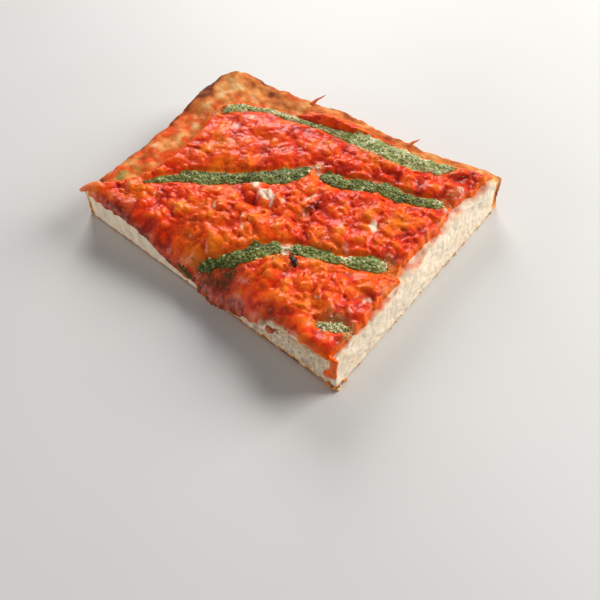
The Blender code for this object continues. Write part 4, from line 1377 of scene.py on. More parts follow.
@dataclass
class SauceTopping:
    """The baked tomato and cheese, over the top and down the left cut side."""

    plan: SlicePlan
    material: bpy.types.Material
    stripes: dict[str, Rows]
    cells: Cells = Cells(232, 262, 4, 4, 2, 6, 22)
    thickness: float = 2.3
    edge: float = 0.55
    puff: tuple[float, float] = (1.0, 7.0)
    lump: tuple[float, float] = (0.75, 7.5)
    groove: tuple[float, float] = (0.9, 1.8)
    hem: tuple[float, float] = (0.4, 4.0)
    rest: float = 0.02
    ragged: float = 1.9
    fold_reach: float = 7.0
    fold_passes: int = 14
    features: Rows = (
        (46.5, 79.5, 4.5, 3, 30, 1), (43, 73, 3.6, 4.6, 20, 1.7), (37, 73.5, 2.2, 4.5, 15, -1.3),
        (45, 64, 4, 3.2, 0, 0.9), (25.5, 46.5, 3, 3, 0, 0.8), (47, 51, 6, 1.8, 5, -1),
        (86.5, 36, 2.2, 8, -10, -1.3), (92, 25, 3.6, 3.2, 0, -1.4), (102, 16.5, 3.4, 4.6, -20, -1.5),
        (98.5, 79, 3.8, 11.5, 4, 1.6), (107, 11, 6, 5, 0, 0.9), (91, 44, 4, 14, -8, 0.9),
        (-6, 61, 5, 10, 0, 2.4), (-7, 54, 4, 4.5, 0, 1.8), (60, 104, 14, 9, -40, 0.9),
        (76, 98, 8, 14, 10, 0.9), (20, 84, 12, 9, -45, 0.8), (58, 42, 8, 12, 20, 0.7),
        (18, 30, 10, 8, 0, 0.6))
    oil: Rows = (
        (10, 82, 6, 9, -40, 0.45), (15, 68, 6, 4, -45, 0.5), (22, 80, 6, 6, 0, 0.45),
        (8.6, 32.3, 4, 3.4, 0, 1), (52, 108, 12, 3.6, -35, 0.8), (61.5, 31.4, 5, 3, 30, 0.9),
        (54.8, 90.8, 6, 4, 0, 0.6), (32.6, 29.4, 5, 4, 0, 0.7), (31, 66, 5, 4, 0, 0.8),
        (25, 30, 8, 3, 20, 0.5), (40, 40, 5, 3, 0, 0.5), (30, 13, 5, 2.5, 0, 0.7), (70, 90, 3, 6, 0, 0.5),
        (109, 6, 3, 2.5, 0, 0.6), (5, 134, 6, 2.4, -20, 0.7), (65, 20, 4, 3, 0, 0.4),
        (100, 34, 2, 6, 0, 0.3), (45, 100, 6, 4, -40, 0.5))
    # Cheese and pale smears; several of the pale rosy white streaks are painted highlights.
    cheese: Rows = (
        (46, 79.6, 3.6, 1.7, 40, 1.7), (43.6, 70.8, 2.3, 3.2, 20, 1.8), (41, 66.4, 1.4, 1.2, 0, 0.7),
        (57, 26.7, 3.2, 2, 40, 1), (25.5, 47.3, 1.7, 1.7, 0, 0.8), (27.4, 8.1, 2.8, 2, 0, 0.62),
        (18.7, 9.8, 3, 1.2, 30, 0.42), (12, 9, 2.6, 1.4, 0, 0.6), (75.5, 109.6, 3, 3.6, 0, 0.55),
        (67.8, 111.3, 3.4, 2.4, 0, 0.5), (78.4, 117, 3, 2.4, 0, 0.5), (45, 63, 3.2, 1.6, 20, 0.4),
        (91, 21.5, 1.4, 1.4, 0, 0.6), (84, 10, 3.4, 2, 0, 0.5), (20, 62, 3.2, 1.4, 60, 0.5),
        (-0.2, 14, 0.7, 4, 0, 0.7), (-0.3, 19, 1, 4, 0, 0.9), (-0.5, 25, 1.3, 4.5, 0, 1),
        (-1.2, 31.5, 1.5, 4.5, 0, 1), (16.3, 23.1, 0.5, 0.5, 0, 1.2), (-3.4, 37, 1.4, 3, 0, 0.7),
        (28.6, 47.4, 2.3, 2.1, 0, 1.1), (42, 29, 3, 2.2, 30, 0.5), (96.5, 10.6, 5, 2.6, 0, 0.48),
        (112.6, 14, 1.6, 4, 0, 0.5), (69, 63.5, 2, 1.6, 0, 0.7), (35, 84, 3.4, 2, 0, 0.35),
        (50, 6, 4, 1.6, 0, 0.4), (26.3, 69, 5.4, 1.1, 38, 0.72), (53.6, 56.2, 3.8, 1, -20, 0.8),
        (49.1, 36.9, 2.6, 2.2, 20, 0.6), (26.3, 84.2, 3.2, 1.2, 40, 0.6))
    # Darker places: painted shade in dips and beside the cheese lump, and deeper red sauce on the left.
    deep: Rows = (
        (38.4, 74.1, 2.4, 4.2, 15, 1), (48.6, 52.6, 5.6, 1.3, -6, 2), (93.1, 26.1, 3, 2.6, 0, 0.7),
        (103, 16.9, 3, 4, -20, 0.8), (7, 113, 5, 4, 0, 0.6), (74.5, 62, 2.6, 3.4, 0, 0.6),
        (83.7, 86.5, 3, 6, 0, 0.35), (88.3, 75.7, 2, 6, 0, 0.35), (10.7, 53.7, 2.4, 1.6, 0, 0.6),
        (17, 106, 6, 3, -30, 0.5), (86, 36, 2, 7, -10, 0.6), (4.4, 28.6, 2.4, 3, 0, 0.9),
        (6, 102, 5, 9, -30, 0.4), (4, 84, 3, 5, 0, 0.3))
    burnt: Rows = (
        (5.6, 134.4, 3.4, 1.2, -25, 1.1), (-3, 104, 1, 3, 10, 0.6), (-1, 33, 1, 2, 0, 0.4),
        (48.8, 52.9, 4.6, 0.8, -6, 0.62))
    # Dark skin along the left edge, mostly painted shade on the steep drape, with dark patches on the top
    # near it.
    maroon: Rows = (
        (-2.4, 110, 4, 20, 0, 1.2), (-7, 90, 6, 13, 0, 1.2), (-12, 72, 9, 13, 0, 1),
        (-9, 52, 8, 12, 0, 1.1), (-2, 50, 5, 7, 0, 0.6), (-4.5, 40, 3.2, 5, 0, 0.8), (3, 66, 5, 7, 0, 0.9),
        (6.5, 58, 5, 4, 0, 0.9), (3, 118, 4, 6, 0, 0.5), (3.4, 34, 2.4, 6, 0, 0.7), (1, 48, 5, 6, 0, 0.3))
    herbs: Rows = (
        (5, 64, 5, 8, 0, 0.8), (10, 58, 6, 2.6, 30, 0.7), (-9, 80, 5, 6, 0, 0.9), (-14, 58, 5, 5, 0, 0.9),
        (-13, 47, 3, 4, 0, 0.7), (-2.6, 20, 1.4, 9, 0, 0.7), (24, 47, 5, 2.4, 20, 0.5),
        (-3.6, 34, 0.9, 6, 0, 0.6), (16.3, 23.1, 1.2, 1.2, 0, 0.7), (-8.6, 77.5, 2.4, 4, 0, 1.1))
    pale_herbs: Rows = (
        (94, 11.6, 3.6, 2.6, 0, 0.4), (-0.5, 26, 1.5, 10, 0, 0.5), (48.6, 12.4, 2.6, 2.6, 0, 0.6),
        (91.6, 57, 1.8, 12, 0, 0.8), (12, 13, 4, 3, 0, 0.5), (11.6, 4.6, 3.6, 1.6, 0, 0.7),
        (14.6, 9.4, 2.4, 2.6, 0, 0.6), (70.6, 66, 2.4, 2.4, 0, 0.5), (70, 125, 5, 1.6, -25, 0.6),
        (16, 121, 4, 2, 0, 0.6), (113, 16, 1.8, 4, 0, 0.5))

    def build(self) -> bpy.types.Object:
        """Make the topping.

        Returns:
            The finished piece.
        """
        sheet, unrolled, border = self.sheet()
        y = sheet[..., 1]
        normals = np.cross(np.gradient(sheet, axis=0), np.gradient(sheet, axis=1))
        normals /= np.linalg.norm(normals, axis=2)[..., None]
        base, groove = self.base_thickness(unrolled, y)
        hem = smooth(self.hem[0] + (unrolled - unrolled[0]) / self.hem[1])
        base = self.edge + (base - self.edge) * hem
        relief, lift = self.relief(sheet.reshape(-1, 3))
        relief, lift = relief.reshape(y.shape), lift.reshape(y.shape)
        calm = (1 - 0.8 * groove) * smooth(border / 2.2) * (0.3 + 0.7 * smooth((unrolled + 3.0) / 6.0))
        calm *= 1 - 0.5 * smooth((y - 62.0) / 30.0) * smooth((unrolled - 24.0) / 20.0)
        patch = Waves.over_plan(unrolled, y, 13.0, 57)
        calm *= np.clip(0.9 + 0.5 * patch, 0.6, 1.15) * (1 + 0.22 * smooth((62.0 - unrolled) / 20.0))
        thick = np.maximum(base + relief * calm, 0.25)
        thick *= 0.12 + 0.88 * np.sqrt(np.clip(border / 1.1, 0, 1))
        lower = sheet + normals * self.rest
        upper = self.even_fold(sheet + normals * (self.rest + thick)[..., None])
        points, faces = Shapes.slab(lower, upper)
        masks = self.masks(unrolled, y, lift, groove, border)
        values = {name: with_underside(mask) for name, mask in masks.items()}
        return make_piece("tomato_and_cheese_layer", points, faces, values, self.material,
                          ["tomato_cheese_topping"])

    def sheet(self) -> tuple[Array, Array, Array]:
        """The part of the bread's skin that the sauce covers.

        Returns:
            Grid of points, their place along X with the left side folded flat, and their distance to the
            edge.
        """
        cells, plan = self.cells, self.plan
        rim, ground, edge = plan.outline(cells)
        top = plan.top(edge, cells)
        covered = slice(cells.strip_v, cells.strip_v + cells.sauce_v + 1)
        plan_part = top[:cells.sauce_u + 1, covered]
        left = top[0]
        rows = plan.shoulder(left, rim[Edge.LEFT], cells.shoulder)
        foot = left[:, 2] - rim[Edge.LEFT][:, 2]
        drape = np.array(plan.sauce_drape)
        lower = np.minimum(np.interp(left[:, 1], drape[:, 0], drape[:, 1]), foot - 0.5)
        lower = lower + 0.7 * Waves.over_plan(0 * left[:, 1], left[:, 1], 5.0, 31, 2)
        lower = np.minimum(lower, foot - 0.4)
        for share in even(cells.face)[1:]:
            rows.append(plan.wall(left, rim[Edge.LEFT], ground[Edge.LEFT], foot + (lower - foot) * share))
        down = np.array(rows)[::-1, covered]
        whole = np.concatenate([down, self.ragged_edge(plan_part)])
        step = np.linalg.norm(np.diff(whole, axis=0), axis=2)
        unrolled = whole[..., 0].copy()
        for k in range(len(rows) - 1, -1, -1):
            unrolled[k] = unrolled[k + 1] - step[k]
        return whole, unrolled, self.border_distance(whole)

    def even_fold(self, upper: Array) -> Array:
        """Round off the fold between the top and the left side, where the surface turns sharply.

        Args:
            upper: Grid of the layer's top.

        Returns:
            The evened grid.
        """
        fold = self.cells.face + self.cells.shoulder
        reach = np.exp(-((np.arange(len(upper)) - fold) / self.fold_reach) ** 2)[:, None, None]
        found = upper.copy()
        for _ in range(self.fold_passes):
            found[1:-1] += 0.5 * reach[1:-1] * (found[:-2] + found[2:] - 2 * found[1:-1])
            found[:, 1:-1] += 0.2 * reach * (found[:, :-2] + found[:, 2:] - 2 * found[:, 1:-1])
        return found

    def ragged_edge(self, part: Array) -> Array:
        """Move the grid near the sauce's edge in plan, so that the edge is uneven.

        Args:
            part: Grid on the bread.

        Returns:
            The moved grid.
        """
        x, y = part[..., 0], part[..., 1]
        fade = smooth(1 - self.plan.sauce_distance(x, y) / 6.0) * smooth((x - 2.0) / 5.0)
        moved = part.copy()
        for axis, seed in ((0, 33), (1, 35)):
            wave = 0.6 * Waves.over_plan(x, y, 9.0, seed, 2) + 0.5 * Waves.over_plan(x, y, 3.4, seed + 1, 2)
            moved[..., axis] += self.ragged * wave * fade
        moved[..., 2] = self.plan.bread_height(moved[..., 0], moved[..., 1])
        return moved

    @staticmethod
    def border_distance(grid: Array) -> Array:
        """Distance of each grid point to the nearest border, along the grid lines.

        Args:
            grid: Grid of points.

        Returns:
            One distance for each point.
        """
        found = []
        for axis in (0, 1):
            step = np.linalg.norm(np.diff(grid, axis=axis), axis=2)
            start = np.zeros_like(np.take(step, [0], axis))
            first = np.concatenate([start, np.cumsum(step, axis=axis)], axis)
            found += [first, np.take(first, [-1], axis) - first]
        return np.minimum.reduce(found)

    def base_thickness(self, x: Array, y: Array) -> tuple[Array, Array]:
        """Thickness of the layer with its main lumps and hollows, and where the pesto's grooves are.

        Args:
            x: Places across.
            y: Places along.

        Returns:
            The thickness, and how deep in a groove each place is.
        """
        z = self.thickness + self.lump[0] * Waves.table(x, y, self.lump[1], 11) + spots(x, y, self.features)
        nearest, groove = np.full(x.shape, self.puff[1]), np.zeros(x.shape)
        for points in self.stripes.values():
            away, width = distance_to(x, y, spline(points, even(SIDE_SAMPLES)))
            nearest = np.minimum(nearest, away - width / 2)
            groove = np.maximum(groove, smooth((width / 2 + self.groove[1] - away) / self.groove[1]))
        z += self.puff[0] * smooth(nearest / self.puff[1])
        z = z * (1 - groove) + self.groove[0] * groove
        for line, start, reach in ((self.plan.sauce_right, 0.15, 5.0), (self.plan.sauce_back, 0.15, 5.0),
                                   (self.plan.sauce_front, 0.5, 3.0)):
            away = distance_to(x, y, spline(line, even(SIDE_SAMPLES)))[0]
            z = self.edge + (z - self.edge) * smooth(start + away / reach)
        return np.maximum(self.edge, z), groove

    def relief(self, points: Array) -> tuple[Array, Array]:
        """Wrinkled lumps of the sauce.

        Args:
            points: Places on the bread's skin.

        Returns:
            Height in millimetres, and how far each place stands out of its surroundings from 0 to 1.
        """
        warp = np.stack([Waves.rolling(points, 7.0, seed) for seed in (41, 43, 45)], 1)
        bent = points + 2.0 * warp
        large, tag = Waves.domes(bent, 7.4, 0.4, 0.95, 47)
        medium = Waves.domes(bent + 1.3, 3.7, 0.35, 0.85, 49)[0]
        small = Waves.domes(bent - 2.1, 1.9, 0.25, 0.6, 50)[0]
        folds = 1 - np.abs(Waves.rolling(points + 2.5 * warp, 6.0, 51)) * 2.4
        tiny = Waves.rolling(points, 1.3, 53)
        pits = Waves.domes(bent, 7.0, 0.1, 0.24, 55)[0]
        mound = large ** 0.8 * (0.55 + 0.45 * tag)
        height = 1.5 * (mound - 0.4) + 0.8 * (medium - 0.35) + 0.2 * small + 0.3 * (folds - 0.5) + 0.12 * tiny
        height -= 0.9 * np.sqrt(pits)
        lift = 0.5 + 0.55 * (mound - 0.4) + 0.5 * (medium - 0.35) + 0.12 * (folds - 0.5) - 0.5 * pits
        return height, np.clip(lift, 0, 1)

    def masks(self, x: Array, y: Array, lift: Array, groove: Array, border: Array) -> dict[str, Array]:
        """Where the sauce is oily, cheesy, dark or burnt, with painted shade and highlights among them.

        Args:
            x: Places across.
            y: Places along.
            lift: How high each place stands.
            groove: How deep its groove is.
            border: Distance to the border.

        Returns:
            The masks by name.
        """
        slow, quick, broad = (Waves.over_plan(x, y, cell, seed, 2) for cell, seed in (
            (15.0, 91), (2.6, 93), (7.5, 95)))
        oil = spots(x, y, self.oil) * (0.75 + 0.5 * quick) + 0.45 * smooth((slow - 0.12) / 0.4)
        oil += 0.5 * smooth(1 - border / 2.5) + 0.2 * groove
        cheese = smooth((spots(x, y, self.cheese) * (1 + 0.8 * quick) - 0.25) / 0.65)
        maroon = np.clip(spots(x, y, self.maroon) * (1 + 0.9 * quick), 0, 1)
        redder = 0.1 * smooth((x - 45.0) / 35.0)
        # Painted shade in low places and hollows, painted highlight on high ones, besides the sauce's own red
        # and orange tones.
        shade_and_dark_red = np.clip(spots(x, y, self.deep), 0, 1.6)
        lift = 0.52 + 0.8 * (lift - 0.5) + 0.3 * broad - 0.5 * shade_and_dark_red - redder
        dark, pale = spots(x, y, self.herbs), spots(x, y, self.pale_herbs)
        herb = (dark + pale) * (1 + 0.8 * quick)
        char = spots(x, y, self.burnt)
        return {"lift": np.clip(lift, 0, 1), "oil": np.clip(oil, 0, 0.85) * (1 - maroon),
                "cheese": np.clip(cheese, 0, 0.92), "maroon": maroon, "char": np.clip(char, 0, 1),
                "herb": np.clip(herb, 0, 0.8), "pale": np.clip(pale / (dark + pale + 0.01), 0, 1)}


@dataclass
class PestoStripe:
    """One stripe of pesto, a grainy ribbon laid in its groove of the sauce."""

    name: str
    line: Rows
    material: bpy.types.Material
    landing: Landing
    crown: float = 0.8
    # Paleness of the stripe: its own colour, or painted light where the stripe catches the light.
    tint_and_painted_light: float = 0.0
    white: float = 0.03
    step: float = 0.45
    rim: float = 0.06
    grain: float = 0.42
    unevenness: float = 0.42
    pale: Rows = (
        (28.6, 47.4, 2.4, 2.6, 0, 1), (39.4, 26, 3.2, 3.2, 0, 0.9), (46.4, 11, 4.6, 4.4, 0, 0.75),
        (22.6, 51.6, 4, 3, 0, 0.22), (13, 5.8, 3, 3.4, 0, 0.6), (88.6, 13, 3.6, 6, 0, 0.6),
        (38.8, 104, 5, 3, 0, -0.12), (75, 45, 3, 6, 0, -0.1), (10, 14.6, 2.6, 3, 0, 0.3))
    pinches: Rows = (
        (28.4, 47.2, 1.8, 1.8, 0, 1.4), (37.6, 26.6, 1.6, 2.2, 0, 0.35), (45, 90, 3, 3, 0, 0.3),
        (8, 66, 2, 2, 0, 0.4), (78, 39, 2, 2, 0, 0.3))

    def build(self) -> bpy.types.Object:
        """Make the stripe.

        Returns:
            The finished piece.
        """
        rough = np.array(self.line)
        length = np.linalg.norm(np.diff(rough[:, :2], axis=0), axis=1).sum()
        cells = 2 * int(length / self.step / 2)
        across = 2 * max(4, int(rough[:, 2].max() / self.step / 2))
        middle = spline(self.line, even(cells))
        share = np.linspace(-1, 1, across + 1)
        end = np.minimum(np.arange(len(middle)), np.arange(len(middle))[::-1]) * self.step
        plan = self.ribbon(middle, share, end)
        floor = np.array([[self.landing.drop(px, py) for px, py in line] for line in plan])
        places = np.dstack([plan, floor]).reshape(-1, 3)
        grains, tag = Waves.domes(places, 1.15, 0.35, 0.8, 111)
        lumps = Waves.rolling(places, 3.4, 113, 2).reshape(floor.shape)
        round_off = np.sqrt(np.clip(1 - share ** 2, 0, 1))[None] * np.clip(end / 1.6, 0, 1)[:, None]
        height = self.rim + (self.crown - self.rim) * round_off * (0.8 + 0.3 * lumps)
        height += self.grain * (grains.reshape(floor.shape) - 0.35) * (0.25 + 0.75 * round_off)
        upper = np.dstack([plan, self.soften(floor) + np.maximum(height, 0.05)])
        lower = np.dstack([plan, floor - 0.02])
        points, faces = Shapes.slab(lower, upper)
        shade = with_underside(self.shade(places, grains, tag).reshape(floor.shape))
        return make_piece(self.name + "_grainy", points, faces, {"shade": shade}, self.material,
                          [self.name])

    def ribbon(self, middle: Array, share: Array, end: Array) -> Array:
        """Places in plan of the stripe's grid, with uneven borders, narrow ends and pinches.

        Args:
            middle: Points and widths along the stripe.
            share: Places across, from -1 to 1.
            end: Distance to the nearest end.

        Returns:
            The places, along and across.
        """
        wide = [1 + self.unevenness * Waves.over_plan(middle[:, 0], middle[:, 1], 4.4, seed, 3)
                for seed in (101, 103)]
        half = np.where(share[None] < 0, wide[0][:, None], wide[1][:, None]) * middle[:, 2:] / 2
        half = half * np.sqrt(np.clip(0.12 + end / 3.0, 0, 1))[:, None]
        half = half * (1 - np.clip(spots(middle[:, 0], middle[:, 1], self.pinches), 0, 0.82))[:, None]
        return middle[:, None, :2] + sideways(middle)[:, None] * (share[None] * half)[..., None]

    def shade(self, places: Array, grains: Array, tag: Array) -> Array:
        """Shade of each grain, from dark green at 0 to white at 1.

        Args:
            places: Places on the stripe.
            grains: Height of the grain there.
            tag: Number of the grain, from 0 to 1.

        Returns:
            One shade for each place.
        """
        x, y = places[:, 0], places[:, 1]
        patch = 0.36 * Waves.rolling(places, 5.0, 115, 2) - 0.4 * smooth((13.0 - x) / 12.0)
        patch *= np.where(y > 18.0, 1.0, 0.3)
        patch += spots(x, y, self.pale)
        # Pale the grains; on the rim stripe this is painted light.
        shade = 0.1 + self.tint_and_painted_light + patch + (0.6 - 0.5 * self.tint_and_painted_light) * tag * np.clip(0.35 + grains, 0, 1)
        return np.clip(np.where(tag > 1 - self.white, 0.8 + 0.2 * tag, shade), 0, 1)

    @staticmethod
    def soften(floor: Array) -> Array:
        """The floor with its small bumps evened out, never lower than it was.

        Args:
            floor: Heights below the stripe.

        Returns:
            The evened heights.
        """
        calm = floor.copy()
        for _ in range(3):
            padded = np.pad(calm, 1, mode="edge")
            calm = (padded[:-2, 1:-1] + padded[2:, 1:-1] + padded[1:-1, :-2] + padded[1:-1, 2:] + calm) / 5
        return np.maximum(calm, floor)


@dataclass
class Bits:
    """Many small rough grains as one piece."""

    name: str
    material: bpy.types.Material
    slot: Slot
    mask: str
    seed: int
    detail: int = 1
    places: list[tuple[float, ...]] = field(default_factory=list)

    def add(self, place: Sequence[float], size: float, shade: float, flat: float = 1.0) -> None:
        """Put one grain at a place, with its half size, its shade and how flat it is."""
        self.places.append((*place, size, shade, flat))

    def build(self) -> bpy.types.Object:
        """Make the piece.

        Returns:
            The finished piece.
        """
        form = bmesh.new()
        bmesh.ops.create_icosphere(form, subdivisions=self.detail, radius=1.0)
        ball = np.array([v.co for v in form.verts])
        triangles = np.array([[v.index for v in f.verts] for f in form.faces])
        form.free()
        draw = np.random.default_rng(self.seed)
        points, faces, values = [], [], []
        for k, (x, y, z, size, shade, flat) in enumerate(self.places):
            turn = np.array(Euler(draw.uniform(0, math.tau, 3)).to_matrix())
            stretch = draw.uniform(0.65, 1.35, 3)
            rough = 1 + draw.uniform(-0.28, 0.28, (len(ball), 1))
            grain = (ball * rough * stretch) @ turn.T * np.array([1.0, 1.0, flat]) * size
            points.append(grain + np.array([x, y, max(z, 0.02 - grain[:, 2].min())]))
            faces.append(triangles + k * len(ball))
            values.append(np.full(len(ball), shade))
        return make_piece(self.name, np.concatenate(points), np.concatenate(faces).tolist(),
                          {self.mask: np.concatenate(values)}, self.material)


@dataclass
class Strand:
    """A rounded strand, horn or tip that follows a line and narrows where it is told to."""

    name: str
    stops: Rows
    material: bpy.types.Material
    slot: Slot
    masks: dict[str, float]
    flatness: float = 0.6
    sides: int = 14
    cells: int = 26
    wrinkle: float = 0.12
    stands_for: tuple[str, ...] = ()

    def build(self) -> bpy.types.Object:
        """Make the strand.

        Returns:
            The finished piece.
        """
        line = softened(self.stops, self.cells, 3)
        run = np.gradient(line[:, :3], axis=0)
        run /= np.linalg.norm(run, axis=1)[:, None]
        beside = np.cross(run, (0.0, 0.0, 1.0))
        beside /= np.linalg.norm(beside, axis=1)[:, None]
        over = np.cross(beside, run)
        turn = np.linspace(0, math.tau, self.sides, endpoint=False)
        wide, tall = np.cos(turn)[None, :, None], self.flatness * np.sin(turn)[None, :, None]
        ring = wide * beside[:, None] + tall * over[:, None]
        share = even(self.cells)
        round_end = np.sqrt(np.clip(np.minimum(share, 1 - share) * 12, 0.02, 1))
        points = line[:, None, :3] + ring * (line[:, 3] * round_end)[:, None, None]
        points = points.reshape(-1, 3)
        rough = 1 + self.wrinkle * Waves.rolling(points, 1.4, 121, 2)
        centre = np.repeat(line[:, :3], self.sides, axis=0)
        points = centre + (points - centre) * rough[:, None]
        faces = []
        for k in range(self.cells):
            for s in range(self.sides):
                a, b = k * self.sides + s, k * self.sides + (s + 1) % self.sides
                faces.append([a, b, b + self.sides, a + self.sides])
        last = self.cells * self.sides
        faces += [list(range(self.sides))[::-1], list(range(last, last + self.sides))]
        values = {name: np.full(len(points), value) for name, value in self.masks.items()}
        return make_piece(self.name, points, faces, values, self.material, self.stands_for)


@dataclass
class CornerDrip:
    """The thin run of sauce down the left cut side beside the front corner."""

    plan: SlicePlan
    material: bpy.types.Material
    rows: Rows = (
        (0.9, 20.2, 4.8, 20.4), (0.9, 18.6, 4.4, 18.8), (0.9, 16, 3.9, 16.2), (0.9, 13.4, 3.9, 12.6),
        (0.6, 11.4, 5, 10), (0.4, 10, 6.2, 8.4), (0.5, 9, 6.3, 7), (0.9, 8.4, 5.6, 6.4))
    down: int = 40
    across: int = 14
    thickness: float = 1.1
    clear: float = 0.35

    def build(self) -> bpy.types.Object:
        """Make the run of sauce.

        Returns:
            The finished piece.
        """
        line = softened(self.rows, self.down, 2)
        s = even(self.across)
        y = line[:, :1] * (1 - s) + line[:, 2:3] * s
        z = line[:, 1:2] * (1 - s) + line[:, 3:4] * s
        x = self.plan.rim[Edge.LEFT][0][0] * z / self.plan.heights[0] - self.clear
        foot = np.sqrt(np.clip((1 - even(self.down)) * 7, 0.05, 1))[:, None]
        crown = self.thickness * np.sqrt(np.clip(1.02 - (2 * s - 1) ** 2, 0, 1))[None] * foot
        places = np.stack([x, y, z], 2)
        rough = 0.22 * Waves.rolling(places.reshape(-1, 3), 2.4, 131, 2).reshape(x.shape)
        upper = places.copy()
        upper[..., 0] -= np.maximum(crown * (1 + rough), 0.08)
        lower = places.copy()
        lower[..., 0] += self.clear
        points, faces = Shapes.slab(lower, upper)
        wave = Waves.rolling(points, 2.0, 133, 2)
        masks = {"lift": 0.55 + 0.3 * wave, "oil": 0.45 + 0.2 * wave}
        return make_piece("corner_drip", points, faces, masks, self.material)


@dataclass
class LooseBits:
    """Small things on the slice: pesto grains, crumbs, a burnt fleck, and bits of tomato and cheese."""

    stripes: dict[str, Rows]
    landing: Landing
    bread: bpy.types.Material
    sauce: bpy.types.Material
    pesto: bpy.types.Material
    gap: tuple[float, float, float] = (28.4, 47.2, 2.4)
    crumbs: tuple[int, int] = (22, 70)
    loose_pesto: tuple = (
        (44, (44.4, 13.6), (3.4, 4), (0.2, 0.4), (0.8, 1)),
        (44, (86.6, 14.4), (3.4, 4.4), (0.2, 0.42), (0.7, 1)),
        (18, (92.6, 12.8), (4, 2.4), (0.18, 0.34), (0.6, 0.95)),
        (12, (70.6, 65.5), (1.8, 1.8), (0.35, 0.6), (0.92, 1)),
        (22, (11.4, 12.4), (2.2, 3), (0.22, 0.42), (0.85, 1)),
        (20, (12.2, 6.6), (2, 2.6), (0.2, 0.4), (0.7, 1)),
        (24, (13, 8.6), (1.8, 2.2), (0.25, 0.45), (0.7, 0.92)),
        (16, (12, 4.4), (3, 1.4), (0.2, 0.36), (0.4, 0.92)),
        (24, (14.8, 131.3), (6, 1.8), (0.2, 0.36), (0.5, 0.8)),
        (34, (4, 70), (4, 6), (0.2, 0.36), (0, 0.2)), (50, (8, 58), (7, 4), (0.2, 0.36), (0, 0.2)),
        (20, (1.4, 27), (1.6, 8), (0.2, 0.34), (0, 0.16)),
        (20, (92.4, 57), (1.2, 10), (0.25, 0.4), (0.7, 0.92)),
        (20, (106, 15), (3.4, 6), (0.18, 0.3), (0.2, 0.7)), (20, (22, 47), (3, 3), (0.2, 0.36), (0, 0.3)))
    herb_rows: tuple = (
        (26, 8, 30, (16.6, 13.4), 0.8), (22, 9, 31, (14.6, 11.6), 1.1), (80, 44, 88, (7.2, 9.6), 0.7),
        (34, 98, 132, (14, 14.6), 0.4), (120, 73.5, 81, (8.2, 10), 0.7), (26, 57, 62, (5.6, 5.9), 0.4))

    def build(self) -> None:
        """Make every kind of small piece."""
        self.pesto_grains()
        self.toasted_crumbs()
        self.strands()

    def pesto_grains(self) -> None:
        """Loose grains of pesto on and beside the stripes."""
        bits = Bits("pesto_grains", self.pesto, Slot.PESTO, "shade", 201)
        draw = np.random.default_rng(203)
        for line in self.stripes.values():
            middle = spline(line, even(80))
            beside = sideways(middle)
            for k, (x, y, width) in enumerate(middle):
                for _ in range(int(1 + width * 0.55)):
                    out = np.clip(draw.normal(0, 0.42), -1.15, 1.15) * width / 2
                    px, py = np.array([x, y]) + beside[k] * out + draw.uniform(-0.6, 0.6, 2)
                    size = draw.uniform(0.22, 0.52)
                    white = draw.random() < (0.12 if py < 26 and px > 30 else 0.025)
                    shade = draw.uniform(0.92, 1.0) if white else draw.uniform(0.0, 0.62)
                    size *= 0.75 if white else 1.0
                    if math.hypot(px - self.gap[0], py - self.gap[1]) < self.gap[2]:
                        continue
                    # Grains on the rim stripe are paler as painted light; those at the front corner are white
                    # and yellow-green.
                    if x > 84.0 and y > 18.0 or x < 16.0 and y < 20.0:
                        shade = 0.46 + 0.36 * shade if x > 84.0 else (0.4, 0.9, 1.0)[k % 3]
                    bits.add((px, py, self.landing.drop(px, py) + size * 0.2), size, shade, 0.7)
        for spot in self.loose_pesto:
            self.scatter(bits, draw, *spot)
        self.side_herbs(bits, draw)
        bits.build()

    def scatter(self, bits: Bits, draw: np.random.Generator, count: int, at: tuple[float, float],
                reach: tuple[float, float], sizes: tuple[float, float], shades: tuple[float, float]) -> None:
        """Drop grains round a place.

        Args:
            bits: The piece that the grains join.
            draw: Source of the random numbers.
            count: How many grains.
            at: Place in plan.
            reach: Spread along X and Y.
            sizes: Least and most half size.
            shades: Least and most shade.
        """
        for _ in range(count):
            x, y = draw.normal(at[0], reach[0] / 2), draw.normal(at[1], reach[1] / 2)
            size = draw.uniform(*sizes)
            bits.add((x, y, self.landing.drop(x, y) + 0.1 * size), size, draw.uniform(*shades), 0.7)

    def side_herbs(self, bits: Bits, draw: np.random.Generator) -> None:
        """Dark grains along the sauce's lower edge on the left cut side.

        Args:
            bits: Piece that the grains go into.
            draw: Random draws.
        """
        for count, low, high, middle, spread in self.herb_rows:
            for _ in range(count):
                y = draw.uniform(low, high)
                z = np.interp(y, (low, high), middle) + draw.normal(0, spread)
                bits.add(self.landing.side(y, z), draw.uniform(0.2, 0.42), draw.uniform(0.0, 0.22))

    def toasted_crumbs(self) -> None:
        """Browned crumbs along the lower edge, most of them at the front corner."""
        bits = Bits("toasted_crumbs", self.bread, Slot.BREAD, "bake", 211, 2)
        draw = np.random.default_rng(213)
        for _ in range(self.crumbs[0]):
            along = abs(draw.normal(0, 4.0))
            size = draw.uniform(0.3, 0.8)
            place = (-0.1, along, 0.0) if draw.random() < 0.45 else (along, -0.1, 0.0)
            z = size * 0.8 + abs(draw.normal(0, 1.0))
            bits.add((place[0] + draw.uniform(-0.4, 0.2), place[1] + draw.uniform(-0.4, 0.2), z), size,
                     draw.uniform(0.3, 0.62))
        for _ in range(self.crumbs[1]):
            along, size = draw.uniform(2, 136), draw.uniform(0.18, 0.42)
            if draw.random() < 0.5:
                place = (draw.uniform(-0.3, 0.1), along, size + draw.uniform(0, 0.9))
            else:
                place = (along * 0.85, draw.uniform(-0.3, 0.1), size + draw.uniform(0, 0.9))
            bits.add(place, size, draw.uniform(0.2, 0.6))
        bits.build()

